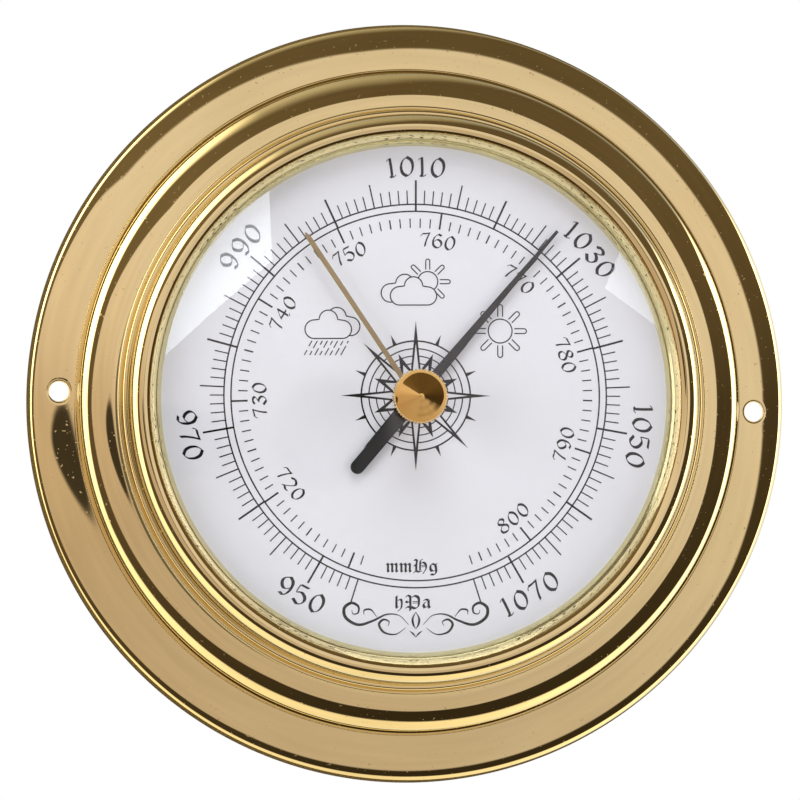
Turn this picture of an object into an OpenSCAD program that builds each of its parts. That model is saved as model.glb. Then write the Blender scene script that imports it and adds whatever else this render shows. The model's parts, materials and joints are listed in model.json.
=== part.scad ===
// Wall weather station: a brass ship's-style aneroid instrument with a stepped case,
// a domed glass, a set hand on a knurled knob and a geared aneroid movement.
// Lengths are in millimetres. The origin is the middle of the flat back, on the wall.
// Every piece is drawn with its height above the wall along +Z and then turned to face -Y.

/* [Case] */
// Outside diameter of the brass flange
flange_d = 115; // [111:1:120]
// Thickness of the pressed brass sheet
sheet_t = 0.9; // [0.7:0.1:1.1]
// Width of the flange face, from its outside edge to the first step
face_w = 7.2; // [6.8:0.1:8]
// Height of the flange face above the wall, at the first step
face_h = 6; // [5.5:0.1:6.6]
// Radius of the rolled outside rim
rim_r = 3; // [2.5:0.1:3.3]
// Slope of the flange face where the rolled rim begins, in degrees
rim_fall = 24; // [20:1:28]
// Slope of the flange face at the first step, in degrees
foot_fall = 6; // [4:1:8]
// Radius in the corner between the flange face and the first step
foot_fillet = 0.5; // [0.3:0.1:0.8]
// Lean of the first step's wall, in degrees
wall_lean = 7; // [5:1:9]
// Width of the first step and its ledge, from the foot to the neck
ledge_w = 7.7; // [7:0.1:8.4]
// Height of the ledge above the wall
ledge_h = 12.8; // [12.4:0.1:13.2]
// Outside radius of the bend where the ledge turns into the neck
neck_bend = 1.2; // [1.1:0.1:1.4]
// Length of the neck below the ledge
neck_len = 4; // [3.6:0.1:4.2]
// Diameter of the two wall screw holes
screw_hole_d = 3; // [2.6:0.1:3.4]
// Distance of a screw hole's middle from the flange's outside edge
hole_inset = 4.9; // [4.6:0.1:5.2]
// Turn of the line through the two screw holes, clockwise, in degrees
hole_turn = 1.5; // [0:0.5:5]

/* [Bezel] */
// Overhang of the bezel's foot over the ledge
foot_over = 1.3; // [1.2:0.05:1.5]
// Radius of the foot bead
foot_bead = 0.35; // [0.25:0.05:0.4]
// Radius of the main bead
main_bead = 0.95; // [0.8:0.05:1]
// Radius of the small bead under the crest
small_bead = 0.35; // [0.25:0.05:0.4]
// Radius of the crest's outside roll
crest_roll = 1.1; // [0.9:0.05:1.2]
// Thickness of the bezel's skirt inside the neck
skirt_t = 0.85; // [0.7:0.05:0.9]
// Distance between the neck's wall and the bore that holds the glass
bore_in = 2.75; // [2.6:0.05:2.9]
// Width of the lip that holds the glass
lip_w = 1.25; // [1.1:0.05:1.4]
// Thickness of the lip
lip_t = 0.5; // [0.4:0.05:0.7]

/* [Glass] */
// Thickness of the domed glass
glass_t = 1.6; // [1.4:0.1:1.8]
// Rise of the dome between its rim and its middle
glass_rise = 3.4; // [3.2:0.1:4]
// Thickness of the gasket between the glass and the lip
gasket_t = 0.3; // [0.2:0.05:0.4]

/* [Dial] */
// Gap between the topmost screws of the movement and the dial plate
dial_gap = 1.1; // [0.9:0.1:1.7]
// Thickness of the dial plate
dial_t = 0.6; // [0.5:0.1:0.8]
// Diameter of the hole for the pointer's arbor
dial_hole_d = 3; // [2.4:0.1:4]
// Height of the reveal ring between the dial and the glass
reveal_h = 1.4; // [1.2:0.1:1.6]
// Flare of the reveal ring from the dial up to the glass
reveal_flare = 0.85; // [0.7:0.05:1]
// Thickness of the ring that carries the dial
seat_t = 0.8; // [0.6:0.1:1]
// Width of the ring that carries the dial, inside the cup's wall
seat_in = 3; // [2:0.5:4]

/* [Rear cup] */
// Thickness of the cup's wall
cup_t = 0.8; // [0.7:0.1:1]
// Thickness of the cup's floor
floor_t = 1.2; // [1.1:0.1:1.3]
// Thickness of the cup's clamping flange
clamp_t = 0.8; // [0.6:0.1:1]
// Reach of the clamping flange beyond the neck
clamp_over = 0.9; // [0.7:0.1:1.2]

/* [Hands and knob] */
// Turn of the pointer from the top of the dial at rest, clockwise, in degrees
pointer_turn = 40.3; // [38:0.1:42]
// Turn of the set hand from the top of the dial at rest, clockwise, in degrees
set_turn = -33.9; // [-36:0.1:-32]
// Thickness of the two hands
hand_t = 0.3; // [0.25:0.05:0.35]
// Height of the pointer above the dial
pointer_gap = 0.8; // [0.7:0.1:0.9]
// Gap between the pointer and the set hand
hands_gap = 0.7; // [0.6:0.05:0.8]
// Gap between the pointer's tip and the reveal ring
pointer_short = 5.05; // [4.5:0.05:6]
// Width of the pointer beside its hub
pointer_w = 1.6; // [1.4:0.1:1.8]
// Width of the pointer at its tip
pointer_tip_w = 0.46; // [0.4:0.02:0.6]
// Length of the pointer's tail
tail_len = 14.3; // [12:0.1:16]
// Width of the pointer's tail
tail_w = 2.05; // [1.8:0.05:2.3]
// How much shorter the set hand is than the pointer
set_short = 3.3; // [3:0.1:4]
// Width of the set hand
set_w = 0.75; // [0.6:0.05:0.9]
// Diameter of the knob's spindle
spindle_d = 2; // [1.8:0.1:2.2]
// Outside diameter of the knob over its knurl
knob_d = 8.1; // [7.5:0.1:9]
// Height of the knob
knob_h = 4.8; // [4.4:0.1:5.4]
// Number of teeth in the knurl
knurl_n = 58; // [48:1:64]
// Depth of the knurl
knurl_depth = 0.2; // [0.15:0.01:0.25]
// Rise of the turned cone on the knob's face
knob_cone = 1.2; // [1:0.1:1.4]

/* [Movement] */
// Thickness of the movement's base plate
base_t = 1; // [0.8:0.1:1.2]
// Diameter of the aneroid capsule
capsule_d = 33; // [31:1:34]
// Thickness of the capsule at its middle
capsule_h = 4.2; // [4:0.1:4.4]
// Thickness of the capsule's sheet
diaphragm_t = 0.3; // [0.25:0.05:0.35]
// Height of the boss under the capsule
boss_h = 0.6; // [0.5:0.05:0.7]
// Distance between the lever's hinge and the capsule's post
lever_short = 5; // [4.5:0.1:5.5]
// Thickness of the main lever
lever_t = 0.8; // [0.7:0.05:0.9]
// Width of the main lever
lever_w = 3; // [2.6:0.1:3.2]
// Length of the rocking shaft's short arm
rocker_arm = 3; // [2.8:0.1:3.2]
// Length of the link between the lever and the rocking shaft
link_len = 3.3; // [3.2:0.1:3.5]
// Thickness of the two bridge plates
bridge_t = 0.7; // [0.6:0.05:0.8]
// Distance between the two bridge plates
bridge_gap = 2.5; // [2.4:0.1:2.8]
// Diameter of the pillars and spacers
pillar_d = 3.6; // [3.2:0.1:4]
// Thickness of the toothed sector
sector_t = 0.5; // [0.4:0.05:0.6]
// Turns of the hairspring
hair_turns = 5; // [4:1:6]
// Diameter of the arbors
arbor_d = 1.2; // [1.1:0.1:1.3]
// Diameter of the arbors' pivots
pivot_d = 0.7; // [0.6:0.05:0.8]

/* [Hidden] */
$fn = 96;

// Play between pieces that are pushed or screwed together
fit = 0.05;
// Radial clearance of a pivot in its bore
run = 0.05;
// Clearance in a pivot that only guides
slack = 0.15;
// Overlap of a cutter beyond the face that it cuts
over = 1;

// Case, in the plane of radius and height
flange_r = flange_d / 2;
foot_r = flange_r - face_w;
neck_r = foot_r - ledge_w;
rim_a = 90 - rim_fall;
face_a = 90 - foot_fall;
face_r = (flange_r - rim_r + rim_r * cos(rim_a) - foot_r) / (cos(rim_a) - cos(face_a));
face_c = [foot_r, face_h] - face_r * [cos(face_a), sin(face_a)];
rim_c = face_c + (face_r - rim_r) * [cos(rim_a), sin(rim_a)];
foot_c = [foot_r, face_h] + foot_fillet * [cos(face_a), sin(face_a)];
wall_foot = foot_c - foot_fillet * [cos(wall_lean), sin(wall_lean)];
step_x = neck_r + neck_bend;
step_r = ((wall_foot[0] - step_x) * cos(wall_lean) - (ledge_h - wall_foot[1]) * sin(wall_lean))
    / (1 - sin(wall_lean));
neck_z = ledge_h - neck_len;
hole_ring_r = flange_r - hole_inset;
hole_flare = 0.75;

// Movement, upwards from the wall
base_z = floor_t;
plate_z = base_z + base_t;
capsule_z = plate_z + boss_h;
capsule_mid = capsule_z + capsule_h / 2;
capsule_top = capsule_z + capsule_h;
capsule_r = capsule_d / 2;
head_r = 4;
wave_in_r = head_r + 0.2;
seam_r = capsule_r - 1.5;
wave_n = 4;
wave_depth = 0.44;
lever_z = capsule_top + 0.8 + lever_t / 2;
bridge_z = lever_z + lever_t / 2 + 1.1;
upper_z = bridge_z + bridge_t + bridge_gap;
sector_z = bridge_z + bridge_t + 0.5;
rocker_z = lever_z - link_len;
tail_reach = sector_z + sector_t / 2 - rocker_z;
rocker_y = capsule_r + 4.5;
link_y = rocker_y - rocker_arm;
base_r = rocker_y + 6.5;
ring_r = capsule_r + 4.1;
sector_at = [tail_reach, rocker_y];
pillar_at = [for (a = [157, 23, 270]) ring_r * [cos(a), sin(a)]];
adjuster_at = ring_r * [cos(226), sin(226)];
base_screw_at = [for (a = [60, 180, 300]) (ring_r + 2.5) * [cos(a), sin(a)]];
bracket_screw_at = [for (s = [-1, 1]) [2.4 * s, rocker_y + 2.8]];
screw_r = 1;
small_screw_r = 0.75;
screw_head_h = 0.7;
thread_len = 3.5;
slot_w = 0.4;
adjuster_r = 1.5;
adjuster_head_r = 2.2;
stud_r = 1.25;
ear_t = 0.6;
foot_t = 0.5;
lever_ear_x = lever_w / 2 + 0.2;
rocker_ear_x = 3.2;
rocker_pivot_r = 0.5;
upright_r = 0.5;
eye_r = 0.9;
pin_r = 0.4;
lever_tip = 0.9;
link_x = 1.2;
link_t = 0.5;
pin_end = 0.3;

// Stack of the dial, the glass and the bezel
dial_h = upper_z + bridge_t + screw_head_h + dial_gap + dial_t;
glass_z = dial_h + reveal_h;
lip_z = glass_z + glass_t + gasket_t;
skirt_r = neck_r - fit;
cup_bore_r = skirt_r - skirt_t;
cup_r = cup_bore_r - fit;
bore_r = neck_r - bore_in;
lip_r = bore_r - lip_w;
glass_r = bore_r - 3 * fit;
crest_x = bore_r + 0.75;
crest_end = 15;
crest_in = (crest_x - lip_r) / cos(crest_end);
crest_z = lip_z + lip_t + crest_in * (1 - sin(crest_end));
seat_z = dial_h - dial_t - seat_t;
reveal_top_r = lip_r - 0.1;
reveal_foot_r = reveal_top_r - reveal_flare;
gasket_in_r = lip_r + 0.3;
apex_z = glass_z + glass_t + glass_rise;
apex_in_z = apex_z - glass_t;

// Hairspring and the collet on the pointer's arbor
collet_r = 1.1;
hair_in_r = collet_r + slack;
hair_z = sector_z + sector_t + 0.6;
hair_pitch = 0.5;
hair_t = 0.12;
hair_w = 0.3;

// Hands and knob
hand_z = dial_h + pointer_gap;
set_z = hand_z + hand_t + hands_gap;
pointer_len = reveal_foot_r - pointer_short;
set_len = pointer_len - set_short;
bush_r = spindle_d / 2 + 0.75;
bush_rim_r = bush_r + 1.2;
bush_z = apex_in_z - 0.85;
washer_t = 0.25;
nut_t = 0.7;
bore_depth = knob_h - 2;
hub_r = 2.4;
set_hub_r = 2;
nut_z = apex_z + washer_t;
knob_z = nut_z + nut_t + washer_t;

// Gear teeth: the joints' ratios follow from these two counts
pinion_n = 12;
sector_n = 196;
center_distance = norm(sector_at);
gear_m = 2 * center_distance / (pinion_n + sector_n);
mesh_a = atan2(sector_at[1], sector_at[0]);
backlash = 0.05;

// Points of a round stretch about a centre, from angle a0 to angle a1
function arc(c, r, a0, a1, n = 6) =
    [for (i = [0:n]) let (a = a0 + (a1 - a0) * i / n) c + r * [cos(a), sin(a)]];

// Line of the case sheet at a depth below its front face, from the wall to the neck's end
function sheet_line(depth) = concat(
    [[flange_r - depth, 0]],
    arc(rim_c, rim_r - depth, 0, rim_a, 8),
    arc(face_c, face_r - depth, rim_a, face_a, 5),
    arc(foot_c, -foot_fillet - depth, face_a, wall_lean, 4),
    arc([step_x, ledge_h - step_r], step_r - depth, wall_lean, 90, 10),
    arc([step_x, ledge_h - neck_bend], neck_bend - depth, 90, 180, 4),
    [[neck_r + depth, neck_z]]);

// Reverse of a list
function backwards(list) = [for (i = [len(list) - 1:-1:0]) list[i]];

// Height of the glass's dome above its rim at a radius, for a dome of a given rim radius
function dome_z(r, rim) =
    let (big = (rim * rim + glass_rise * glass_rise) / (2 * glass_rise))
    sqrt(big * big - r * r) - big + glass_rise;

// Line over the dome from a rim radius to the bush hole
function dome_line(rim, z, n = 16) =
    [for (i = [0:n]) let (r = rim + (bush_r + fit - rim) * i / n) [r, z + dome_z(r, rim)]];

// Height of a corrugated diaphragm over the capsule's middle plane
function wave_z(r) =
    let (s = (seam_r - r) / (seam_r - wave_in_r), w = (s - 0.25) / 0.7)
    (capsule_h / 2 - diaphragm_t) * min(1, s * 1.5)
        + (w > 0 && w < 1 ? wave_depth / 2 * (cos(360 * wave_n * w) - 1) : 0);

// Front and back lines of a diaphragm, from the middle to the rim
function wave_line(z, n = 36) =
    [for (i = [0:n]) let (r = wave_in_r + (seam_r - wave_in_r) * i / n) [r, wave_z(r) + z]];

// Outline of one gear tooth that points along +X, on a wheel with n teeth
function tooth(n, tip) =
    let (r = gear_m * n / 2, half = 90 / n - backlash / r * 90 / PI)
    [for (s = [-1, 1], k = s < 0 ? [0:3] : [3:-1:0])
        let (h = [-1.1, -0.35, 0.25, tip][k], w = [1.22, 1.14, 0.82, 0.42][k],
             q = r + h * gear_m, a = s * half * w * r / q)
        q * [cos(a), sin(a)]];

// Turns a piece that is drawn with its height along +Z to face -Y
module front() {
    rotate([90, 0, 0]) children();
}

// Flat ring or tube between two heights
module ring(outer, inner, z0, z1) {
    translate([0, 0, z0]) difference() {
        cylinder(r = outer, h = z1 - z0);
        translate([0, 0, -over]) cylinder(r = inner, h = z1 - z0 + 2 * over);
    }
}

// Round rod between two heights
module rod(r, z0, z1) {
    translate([0, 0, z0]) cylinder(r = r, h = z1 - z0);
}

// Box between two corners
module block(low, high) {
    translate(low) cube(high - low);
}

// Round rod along X between two places
module cross_rod(r, x0, x1, y, z) {
    translate([x0, y, z]) rotate([0, 90, 0]) cylinder(r = r, h = x1 - x0);
}

// Flat arm from the middle to a round boss at a point
module arm(to, width, boss_r) {
    rotate(atan2(to[1], to[0])) translate([0, -width / 2]) square([norm(to), width]);
    translate(to) circle(r = boss_r);
}

// Slotted screw with a flat head on top of its shank
module screw(r, z0, z1, head_r, head_h) {
    difference() {
        union() {
            rod(r, z0, z1);
            rod(head_r, z1, z1 + head_h);
        }
        block([-head_r - over, -slot_w / 2, z1 + head_h / 2],
              [head_r + over, slot_w / 2, z1 + head_h + over]);
    }
}

// Pressed brass flange with its rolled rim, first step, ledge and neck
module case_flange() {
    color("goldenrod") front() difference() {
        rotate_extrude() polygon(concat(sheet_line(0), backwards(sheet_line(sheet_t))));
        for (a = [0, 180]) rotate(a - hole_turn) translate([hole_ring_r, 0, 0]) {
            cylinder(d = screw_hole_d, h = ledge_h);
            translate([0, 0, face_h - hole_flare])
                cylinder(d1 = screw_hole_d, d2 = screw_hole_d + 2 * hole_flare, h = hole_flare);
        }
    }
}

// Turned bezel: foot bead, main bead, small bead, crest, lip and skirt
module bezel() {
    foot_x = neck_r + foot_over - foot_bead;
    main_c = [foot_x - 0.25 - main_bead, ledge_h + 0.6 + main_bead];
    small_c = [main_c[0] - small_bead, main_c[1] + main_bead + small_bead + 0.3];
    color("gold") front() rotate_extrude() polygon(concat(
        [[skirt_r, neck_z + 0.4], [skirt_r, ledge_h]],
        arc([foot_x, ledge_h + foot_bead], foot_bead, -90, 140),
        arc(main_c, main_bead, -25, 85),
        arc(small_c, small_bead, -40, 120),
        arc([crest_x, crest_z - crest_roll], crest_roll, 0, 90),
        arc([crest_x, crest_z - crest_in], crest_in, 90, 180 - crest_end),
        [[lip_r, lip_z], [bore_r, lip_z], [bore_r, dial_h - dial_t],
         [cup_bore_r, dial_h - dial_t], [cup_bore_r, neck_z + 0.4]]));
}

// Soft ring between the glass and the bezel's lip
module glass_gasket() {
    color("dimgray") front() ring(glass_r, gasket_in_r, lip_z - gasket_t, lip_z);
}

// Domed glass with a ground rim and a hole for the knob's bush
module glass_lens() {
    rim_top_r = gasket_in_r;
    rim_foot_r = reveal_top_r - 0.2;
    color("lightcyan", 0.35) front() rotate_extrude() polygon(concat(
        [[glass_r, glass_z], [glass_r, glass_z + glass_t]],
        dome_line(rim_top_r, glass_z + glass_t),
        backwards(dome_line(rim_foot_r, glass_z))));
}

// Polished ring that stands on the dial and carries the glass
module reveal_ring() {
    color("khaki") front() rotate_extrude() polygon([
        [glass_r, dial_h], [glass_r, glass_z], [reveal_top_r, glass_z], [reveal_foot_r, dial_h]]);
}

// White dial plate
module dial_plate() {
    color("whitesmoke") front() ring(glass_r, dial_hole_d / 2, dial_h - dial_t, dial_h);
}

// Ring on the cup's rim that carries the dial
module dial_seat_ring() {
    color("darkkhaki") front() ring(cup_r, cup_r - cup_t - seat_in, seat_z, seat_z + seat_t);
}

// Rear cup with the flange that clamps the case's neck
module rear_cup() {
    color("peru") front() difference() {
        union() {
            ring(cup_r, cup_r - cup_t, 0, seat_z);
            rod(cup_r - cup_t / 2, 0, floor_t);
            ring(neck_r + sheet_t + clamp_over, cup_r - cup_t / 2, neck_z - clamp_t, neck_z);
        }
        for (p = base_screw_at) translate(p) {
            rod(screw_r + fit, -over, floor_t + over);
            translate([0, 0, -fit]) cylinder(r1 = screw_r + 1.1, r2 = screw_r + fit, h = 1 + fit);
        }
        translate(adjuster_at) rod(adjuster_head_r + 0.4, -over, floor_t + over);
    }
}

// Round base plate of the movement
module movement_base() {
    color("burlywood") front() difference() {
        rod(base_r, base_z, plate_z);
        rod(stud_r + fit, base_z - over, plate_z + over);
        for (p = base_screw_at) translate(p) rod(screw_r + fit, base_z - over, plate_z + over);
        for (p = bracket_screw_at) translate(p) rod(small_screw_r + fit, base_z - over, plate_z + over);
        translate(adjuster_at) rod(adjuster_r + fit, base_z - over, plate_z + over);
    }
}

// Three countersunk screws that hold the base plate to the cup
module base_screws() {
    color("silver") front() for (p = base_screw_at) translate(p) difference() {
        union() {
            translate([0, 0, 0.1]) cylinder(r1 = screw_r + 0.9, r2 = screw_r, h = 0.9);
            rod(screw_r, 0.5, plate_z);
        }
        block([-2 * over, -slot_w / 2, 0], [2 * over, slot_w / 2, 0.5]);
    }
}

// Stud that carries the capsule on the base plate
module capsule_stud() {
    color("tan") front() {
        rod(head_r, plate_z, capsule_z);
        rod(stud_r, base_z, plate_z);
    }
}

// Lower corrugated half of the capsule
module capsule_lower() {
    color("gold") front() translate([0, 0, capsule_mid]) mirror([0, 0, 1]) {
        rotate_extrude() polygon(concat(
            [[0, capsule_h / 2 - diaphragm_t], [0, capsule_h / 2]],
            wave_line(diaphragm_t), [[capsule_r, diaphragm_t], [capsule_r, 0]],
            backwards(wave_line(0))));
    }
}

// Upper corrugated half of the capsule, open at its middle for the moving head
module capsule_upper() {
    color("gold") front() translate([0, 0, capsule_mid]) rotate_extrude() polygon(concat(
        wave_line(diaphragm_t), [[capsule_r, diaphragm_t], [capsule_r, 0]], backwards(wave_line(0))));
}

// Moving middle of the capsule with the post that lifts the lever
module capsule_head() {
    color("orange") front() {
        rod(head_r, capsule_top - diaphragm_t, capsule_top);
        rod(1, capsule_top, capsule_top + 0.4);
        translate([0, 0, capsule_top + 0.4])
            cylinder(r1 = 1, r2 = 0.25, h = lever_z - lever_t / 2 - fit - capsule_top - 0.4);
    }
}

// Bracket under the lower bridge with two ears for the lever's hinge
module lever_bracket() {
    color("silver") front() difference() {
        union() {
            translate([0, -lever_short, 0]) {
                block([-lever_ear_x - ear_t, -1.2, bridge_z - foot_t], [lever_ear_x + ear_t, 1.2, bridge_z]);
                for (x = [-lever_ear_x - ear_t, lever_ear_x])
                    block([x, -1.2, lever_z - 1], [x + ear_t, 1.2, bridge_z]);
            }
        }
        cross_rod(pin_r + fit, -lever_w * 2, lever_w * 2, -lever_short, lever_z);
    }
}

// Hinge pin of the main lever
module lever_pin() {
    end_x = lever_ear_x + ear_t + pin_end;
    color("gray") front() cross_rod(pin_r, -end_x, end_x, -lever_short, lever_z);
}

// Main lever from its hinge, over the capsule's post, to the link
module main_lever() {
    color("steelblue") front() difference() {
        union() {
            block([-lever_w / 2, -lever_short - 1, lever_z - lever_t / 2],
                  [lever_w / 2, link_y - 3, lever_z + lever_t / 2]);
            block([-lever_tip, link_y - 4, lever_z - lever_t / 2],
                  [lever_tip, link_y, lever_z + lever_t / 2]);
            cross_rod(eye_r, -lever_tip, lever_tip, link_y, lever_z);
            cross_rod(eye_r, -lever_w / 2, lever_w / 2, -lever_short, lever_z);
        }
        cross_rod(pin_r + run, -lever_w, lever_w, -lever_short, lever_z);
        cross_rod(pin_r, -lever_w, lever_w, link_y, lever_z);
    }
}

// Pin at the end of the lever that carries the link
module link_pin() {
    color("gray") front() cross_rod(pin_r, -lever_tip, link_x + link_t + pin_end, link_y, lever_z);
}

// Link between the lever and the rocking shaft
module link() {
    color("slategray") front() difference() {
        union() {
            cross_rod(eye_r, link_x, link_x + link_t, link_y, lever_z);
            cross_rod(eye_r, link_x, link_x + link_t, link_y, rocker_z);
            block([link_x, link_y - 0.6, rocker_z], [link_x + link_t, link_y + 0.6, lever_z]);
        }
        cross_rod(pin_r + run, link_x - over, link_x + link_t + over, link_y, lever_z);
        cross_rod(pin_r + slack, link_x - over, link_x + link_t + over, link_y, rocker_z);
    }
}

// Bracket on the base plate with two ears for the rocking shaft
module rocker_bracket() {
    color("silver") front() difference() {
        union() {
            translate([0, rocker_y, 0]) {
                block([-rocker_ear_x - ear_t, -1.3, plate_z], [rocker_ear_x + ear_t, 4.2, plate_z + foot_t]);
                for (x = [-rocker_ear_x - ear_t, rocker_ear_x])
                    block([x, -1.3, plate_z], [x + ear_t, 1.3, rocker_z + 1.1]);
            }
        }
        cross_rod(rocker_pivot_r + run, -rocker_ear_x - over, rocker_ear_x + over, rocker_y, rocker_z);
        for (p = bracket_screw_at) translate(p) rod(small_screw_r + fit, plate_z - over, plate_z + 2 * over);
    }
}

// Two small screws that hold the rocking shaft's bracket
module bracket_screws() {
    color("gainsboro") front() for (p = bracket_screw_at) translate(p)
        screw(small_screw_r, base_z, plate_z + foot_t, small_screw_r + 0.55, screw_head_h);
}

// Rocking shaft with its short arm to the link and its upright arm to the sector
module rocking_shaft() {
    shaft_x = rocker_ear_x - 0.1;
    pivot_x = rocker_ear_x + ear_t + 0.1;
    arm_t = 1;
    color("lightslategray") front() {
        cross_rod(0.9, -shaft_x, shaft_x, rocker_y, rocker_z);
        cross_rod(rocker_pivot_r, -pivot_x, pivot_x, rocker_y, rocker_z);
        block([-arm_t / 2, link_y, rocker_z - 0.45], [arm_t / 2, rocker_y, rocker_z + 0.45]);
        cross_rod(0.8, -arm_t / 2, arm_t / 2, link_y, rocker_z);
        cross_rod(pin_r, -arm_t / 2, link_x + link_t + pin_end, link_y, rocker_z);
        translate([0, rocker_y, 0]) rod(upright_r, rocker_z, sector_z + sector_t + 0.3);
    }
}

// Three pillars between the base plate and the lower bridge
module bridge_pillars() {
    color("wheat") front() for (p = pillar_at) translate(p) difference() {
        rod(pillar_d / 2, plate_z, bridge_z);
        rod(screw_r + fit, bridge_z - thread_len - 0.5, bridge_z + over);
    }
}

// Bridge plate with one arm to each of its supports
module bridge_plate(z, arms, arbor_r) {
    translate([0, 0, z]) difference() {
        linear_extrude(height = bridge_t) {
            circle(r = 5);
            for (p = arms) arm(p, pillar_d + 0.8, pillar_d / 2 + 1);
        }
        translate([0, 0, -over]) {
            cylinder(r = arbor_r, h = bridge_t + 2 * over);
            translate(sector_at) cylinder(r = pivot_d / 2 + run, h = bridge_t + 2 * over);
            for (p = pillar_at) translate(p) cylinder(r = screw_r + fit, h = bridge_t + 2 * over);
        }
    }
}

// Lower bridge, with an extra arm that the adjusting screw bears on
module lower_bridge() {
    color("khaki") front()
        bridge_plate(bridge_z, concat(pillar_at, [sector_at, adjuster_at]), pivot_d / 2 + run);
}

// Three spacers between the two bridges
module bridge_spacers() {
    color("wheat") front() for (p = pillar_at) translate(p)
        ring(pillar_d / 2, screw_r + fit, bridge_z + bridge_t, upper_z);
}

// Upper bridge
module upper_bridge() {
    color("khaki") front() bridge_plate(upper_z, concat(pillar_at, [sector_at]), arbor_d / 2 + run);
}

// Three screws through both bridges into the pillars
module bridge_screws() {
    color("silver") front() for (p = pillar_at) translate(p)
        screw(screw_r, bridge_z - thread_len, upper_z + bridge_t, screw_r + 0.9, screw_head_h);
}

// Toothed sector with its two spokes and the fork that the rocking shaft moves
module toothed_sector() {
    root_r = gear_m * (sector_n / 2 - 1.05);
    pitch_a = 360 / sector_n;
    first = -6;
    last = 9;
    rim_w = 1.2;
    fork_x = -tail_reach - 1.2;
    color("gold") front() translate([sector_at[0], sector_at[1], sector_z]) linear_extrude(height = sector_t)
        difference() {
            union() {
                circle(r = 2.2);
                rotate(mesh_a + 180) {
                    for (k = [first:last]) rotate(pitch_a * (k + 0.5)) polygon(tooth(sector_n, 0.7));
                    difference() {
                        polygon(concat([[0, 0]],
                            arc([0, 0], root_r, pitch_a * first, pitch_a * (last + 1), 12)));
                        polygon(concat([[4, 0]],
                            arc([0, 0], root_r - rim_w, pitch_a * (first + 2.5), pitch_a * (last - 1.5), 8)));
                    }
                }
                translate([fork_x, -1.3]) square([-fork_x, 2.6]);
            }
            circle(d = arbor_d);
            translate([fork_x - over, -upright_r - slack])
                square([2.4 + over, 2 * (upright_r + slack)]);
        }
}

// Arbor of the toothed sector
module sector_arbor() {
    color("silver") front() translate(sector_at) {
        rod(arbor_d / 2, bridge_z + bridge_t + 0.1, upper_z - 0.1);
        rod(pivot_d / 2, bridge_z, upper_z + bridge_t);
    }
}

// Arbor with the pinion, the hairspring's collet and the seat for the pointer
module pinion_arbor() {
    color("silver") front() {
        rod(pivot_d / 2, bridge_z, sector_z);
        rod(arbor_d / 2, bridge_z + bridge_t + 0.1, hand_z + hand_t + 0.3);
        rotate(mesh_a) translate([0, 0, sector_z - 0.2]) linear_extrude(height = sector_t + 0.4) {
            circle(r = gear_m * (pinion_n / 2 - 1.05));
            for (k = [0:pinion_n - 1]) rotate(360 / pinion_n * k) polygon(tooth(pinion_n, 0.85));
        }
        rod(collet_r, hair_z - 0.15, hair_z + hair_w + 0.2);
    }
}

// Spiral hairspring round the collet
module hairspring(gap = 0) {
    steps = 20;
    line = [for (i = [0:hair_turns * steps]) [hair_in_r + hair_pitch * i / steps, 360 * i / steps]];
    color("steelblue") front() translate([0, 0, hair_z - gap])
        linear_extrude(height = hair_w + 2 * gap) polygon(concat(
            [for (p = line) (p[0] - gap) * [cos(p[1]), sin(p[1])]],
            backwards([for (p = line) (p[0] + hair_t + gap) * [cos(p[1]), sin(p[1])]])));
}

// Stud under the upper bridge that holds the hairspring's outer end
module hairspring_stud() {
    reach = hair_in_r + hair_pitch * hair_turns;
    color("gray") difference() {
        front() translate([reach, -0.35, 0]) rod(0.45, hair_z - 0.1, upper_z);
        hairspring(0.01);
    }
}

// Screw in the back that tilts the lower bridge to set the pointer
module adjusting_screw() {
    color("silver") front() translate(adjuster_at) difference() {
        union() {
            rod(adjuster_head_r, 0.2, base_z);
            rod(adjuster_r, base_z, plate_z + 0.6);
            rod(screw_r, plate_z, bridge_z - fit);
        }
        block([-3, -0.3, 0], [3, 0.3, 0.7]);
    }
}

// Bush that holds the pointer on its arbor
module pointer_bush() {
    color("goldenrod") front() ring(hub_r - 1, arbor_d / 2, hand_z - 0.5, hand_z);
}

// Black pointer with its blade, hub and round-ended tail
module pointer() {
    color("black") front() rotate(-pointer_turn) translate([0, 0, hand_z])
        linear_extrude(height = hand_t) difference() {
            union() {
                circle(r = hub_r);
                polygon([[-pointer_w / 2, 0], [pointer_w / 2, 0], [pointer_tip_w / 2, pointer_len],
                         [-pointer_tip_w / 2, pointer_len]]);
                translate([-tail_w / 2, -tail_len + tail_w / 2]) square([tail_w, tail_len - tail_w / 2]);
                translate([0, -tail_len + tail_w / 2]) circle(d = tail_w);
            }
            circle(d = arbor_d);
        }
}

// Brass set hand that the knob turns
module set_hand() {
    color("darkgoldenrod") front() rotate(-set_turn) translate([0, 0, set_z])
        linear_extrude(height = hand_t) difference() {
            union() {
                circle(r = set_hub_r);
                translate([-set_w / 2, 0]) square([set_w, set_len]);
            }
            circle(d = spindle_d);
        }
}

// Spindle from the set hand, through the glass, into the knob
module knob_spindle() {
    color("darkkhaki") front() {
        rod(spindle_d / 2, set_z - 0.2, knob_z + bore_depth);
        rod(bush_r - 0.15, set_z + hand_t, bush_z - 0.1);
    }
}

// Bush in the glass that carries the spindle
module glass_bush() {
    color("goldenrod") front() {
        ring(bush_r, spindle_d / 2 + run, bush_z, nut_z + nut_t);
        ring(bush_rim_r, bush_r, bush_z, apex_in_z - fit);
    }
}

// Fibre washer between the glass and the nut
module bush_washer() {
    color("sienna") front() ring(bush_rim_r + 0.1, bush_r + fit, apex_z, nut_z);
}

// Nut that clamps the bush to the glass
module bush_nut() {
    color("gold") front() ring(bush_rim_r, bush_r + fit, nut_z, nut_z + nut_t);
}

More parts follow.
